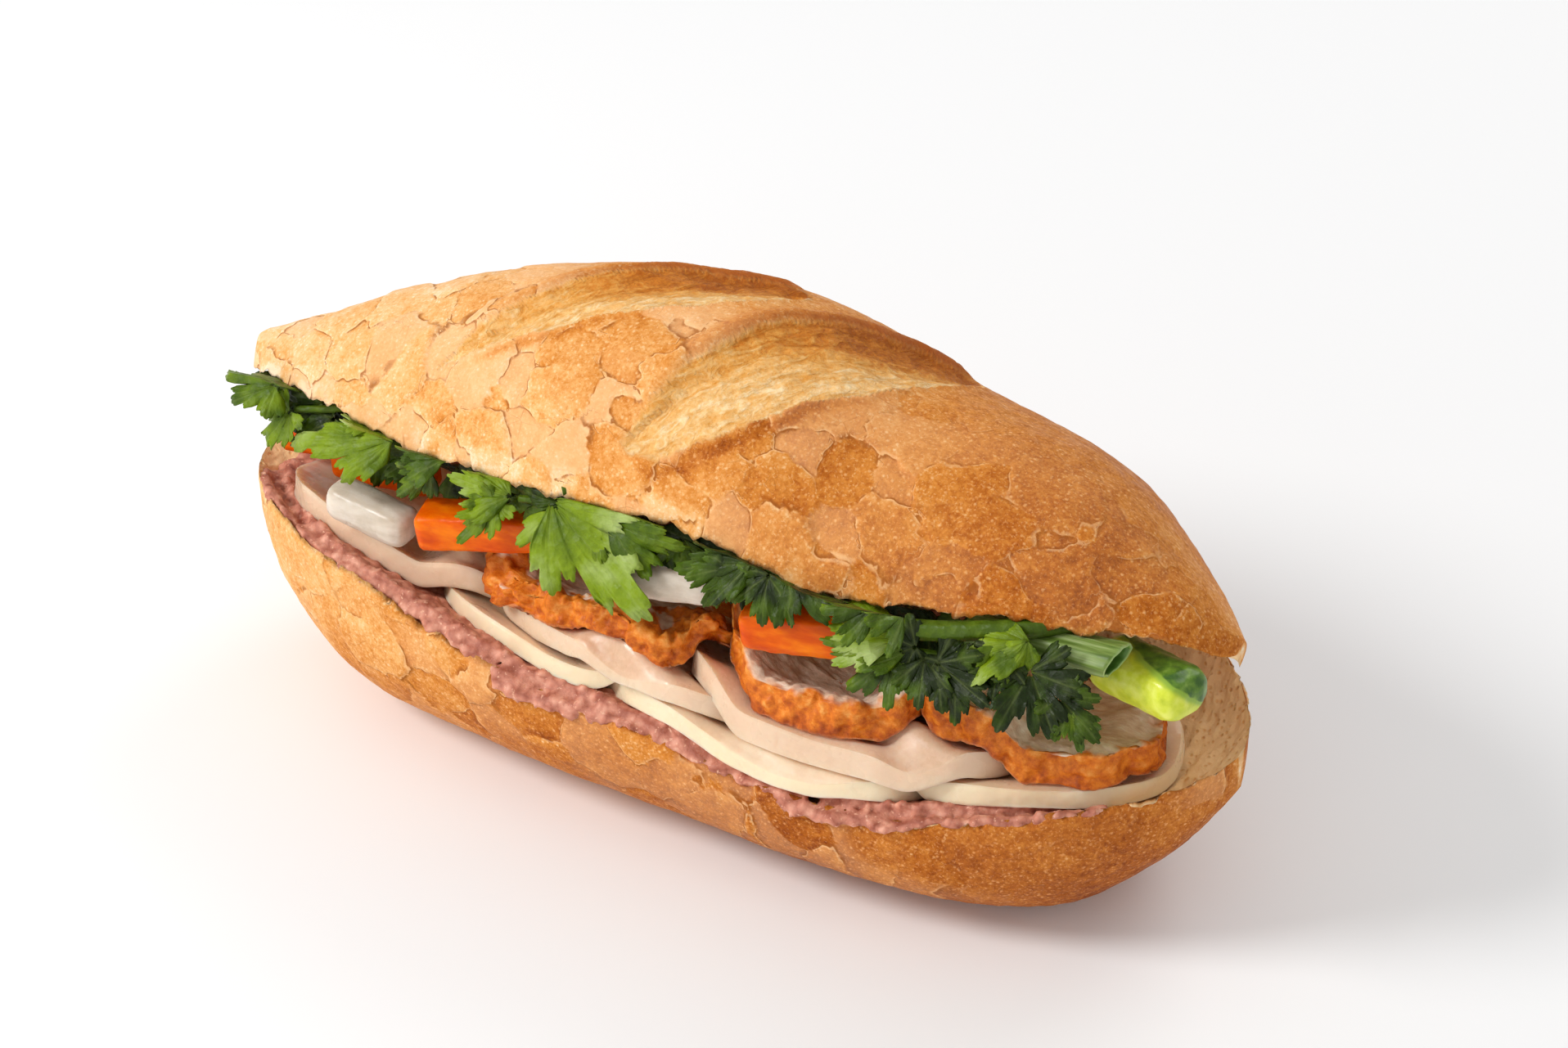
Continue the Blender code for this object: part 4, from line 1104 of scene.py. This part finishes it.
def coriander_core(material):
    """The crushed middle of the bunch, inside the leaves, coloured very dark as painted shade."""
    inward, behind, below, raised, free = 3.8, 4.5, 9, 4, 1.5
    points, normals, faces = remeshed([node_mesh("coriander")], voxel=1.2, smooth=4)
    points = points - normals * (inward - 0.9 * noise(points, 3, 3, 5))[:, None]
    # What hangs out below the crown is left to the leaves: the core stops behind the crown's front edge.
    x, y, z = points.T
    edge = top_sides(x)[0] + behind
    hangs = step(y, edge + 3, edge - 1)
    y = np.maximum(y, edge)
    z = np.minimum(np.maximum(z, top_front_edge(x) - below + raised * hangs), crown_underside(x, y) - free)
    points = np.stack([x, y, z], axis=-1)
    # A very low paleness: painted shade inside the bunch.
    add_herb("herb_core", points, faces, material, 0.0, -0.3)


def coriander_look():
    look = Look("coriander", 0.40, gloss=0.22)
    tone = look.plus(look.stored("pale"), look.times(look.minus(look.noise(4, 3), 0.5), 0.5))
    # The palest stop is whitened: partly the leaf's paler underside and partly painted sheen.
    leaf = look.ramp(tone, (0.0, 0.010, 0.020, 0.0005), (0.35, 0.060, 0.110, 0.001),
                     (0.7, 0.20, 0.29, 0.004), (1.0, 0.40, 0.50, 0.16))
    look.colour(look.mix(look.times(look.stored("vein"), 0.13), leaf, (0.42, 0.52, 0.14)))
    look.rough(look.between(look.noise(2, 3), 0.3, 0.7, 0.36, 0.58))
    look.bump(look.noise(0.9, 3), 0.22, 0.8)
    look.bump(look.dots(2.0)["Distance"], 0.45, 0.9)
    look.soft(0.15, 0.8, (0.6, 1.0, 0.1))
    return look.material


# ---------------------------------------------------------------- camera and light
CAMERA_PLACE, LENS = (337.6, -584.4, 513.9), 93.95
AZIMUTH, ELEVATION = 29.45, 34.27
FLOOR_REACH, FLOOR_DROP, FLOOR_GREY, SKY_STRENGTH = 6.0, 0.0002, 0.94, 0.58
LIGHTS_AIM = (0.0, 0.0, 0.05)
# Lights: place and size in metres, and power.
LIGHTS = {
    "key": ((-0.62, -0.58, 0.74), 0.40, 7.4),
    "front": ((0.1, -1.0, 0.32), 0.6, 1.1),
    "back": ((0.2, 0.9, 0.8), 0.8, 3.0),
}


def looking(back):
    """The rotation of a camera or light whose back is turned this way."""
    return back.to_track_quat("Z", "Y").to_euler()


def add_camera():
    azimuth, elevation = math.radians(AZIMUTH), math.radians(ELEVATION)
    level = math.cos(elevation)
    back = Vector((math.sin(azimuth) * level, -math.cos(azimuth) * level, math.sin(elevation)))
    camera = linked("camera", bpy.data.cameras.new("camera"))
    camera.data.lens = LENS
    camera.data.clip_start = 0.01
    camera.location = Vector(CAMERA_PLACE) * MM + Vector(SHIFT) * MM
    camera.rotation_euler = looking(back)
    bpy.context.scene.camera = camera


def add_stage():
    """A pale floor, an even white sky and soft lights."""
    mesh = bpy.data.meshes.new("floor")
    ways = ((-1, -1), (1, -1), (1, 1), (-1, 1))
    mesh.from_pydata([(x * FLOOR_REACH, y * FLOOR_REACH, 0) for x, y in ways], [], [(0, 1, 2, 3)])
    look = Look("floor", 0.8)
    look.colour((FLOOR_GREY,) * 3)
    mesh.materials.append(look.material)
    floor = linked("floor", mesh)
    floor.location.z = -FLOOR_DROP
    world = bpy.data.worlds.new("studio")
    world.use_nodes = True
    sky = world.node_tree.nodes["Background"].inputs
    sky["Color"].default_value = (1.0, 1.0, 1.0, 1.0)
    sky["Strength"].default_value = SKY_STRENGTH
    bpy.context.scene.world = world
    bpy.context.scene.view_settings.view_transform = "Standard"
    for name, (place, size, power) in LIGHTS.items():
        data = bpy.data.lights.new(name, "AREA")
        data.shape = "DISK"
        data.size = size
        data.energy = power
        light = linked(name, data)
        light.location = place
        light.rotation_euler = looking(Vector(place) - Vector(LIGHTS_AIM))


def numbered(start, first_seed):
    """The nodes whose names start like this, each with a seed."""
    names = sorted(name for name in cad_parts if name.startswith(start))
    return [(name, first_seed + 10 * k) for k, name in enumerate(names)]


add_camera()
add_stage()
crust = crust_look()
crown_piece(crust)
base_piece(crust)
pate_piece(pate_look())
ham = meat_look("ham", (0.76, 0.52, 0.32), (0.84, 0.63, 0.43), (0.90, 0.73, 0.54), (0.95, 0.80, 0.54),
                rough=0.34, reach=3.0, gloss=0.32)
pork_roll = meat_look("pork_roll", (0.64, 0.39, 0.24), (0.77, 0.52, 0.35), (0.84, 0.63, 0.46),
                      (0.84, 0.62, 0.44), rough=0.30, reach=5.0, gloss=0.38)
for slot, material, first_seed in (("ham", ham, 0), ("pork_roll", pork_roll, 100)):
    for name, seed in numbered(slot, first_seed):
        slice_piece(name, material, slot, seed)
roast = roast_look()
for name, seed in numbered("roast_", 200):
    roast_piece(name, roast, seed, torn=1.0 if name.endswith("left") else 0.0)
carrot = pickle_look("carrot", (0.60, 0.055, 0.0), (0.76, 0.115, 0.0), (0.92, 0.23, 0.001),
                     (1.0, 0.30, 0.01), rough=0.35, reach=2.4, gloss=0.12)
daikon = pickle_look("daikon", (0.52, 0.43, 0.33), (0.63, 0.54, 0.44), (0.75, 0.67, 0.58),
                     (1.0, 0.8, 0.6), rough=0.3, reach=5.0, gloss=0.25)
for slot, material, first_seed, smooth in (("carrot", carrot, 300, 3), ("daikon", daikon, 400, 9)):
    for name, seed in numbered(slot, first_seed):
        baton_piece(name, material, slot, seed, smooth)
cucumber_piece(cucumber_look())
onion_piece(onion_look())
herb = coriander_look()
coriander_leaves(herb)
coriander_stems(herb)
coriander_core(herb)
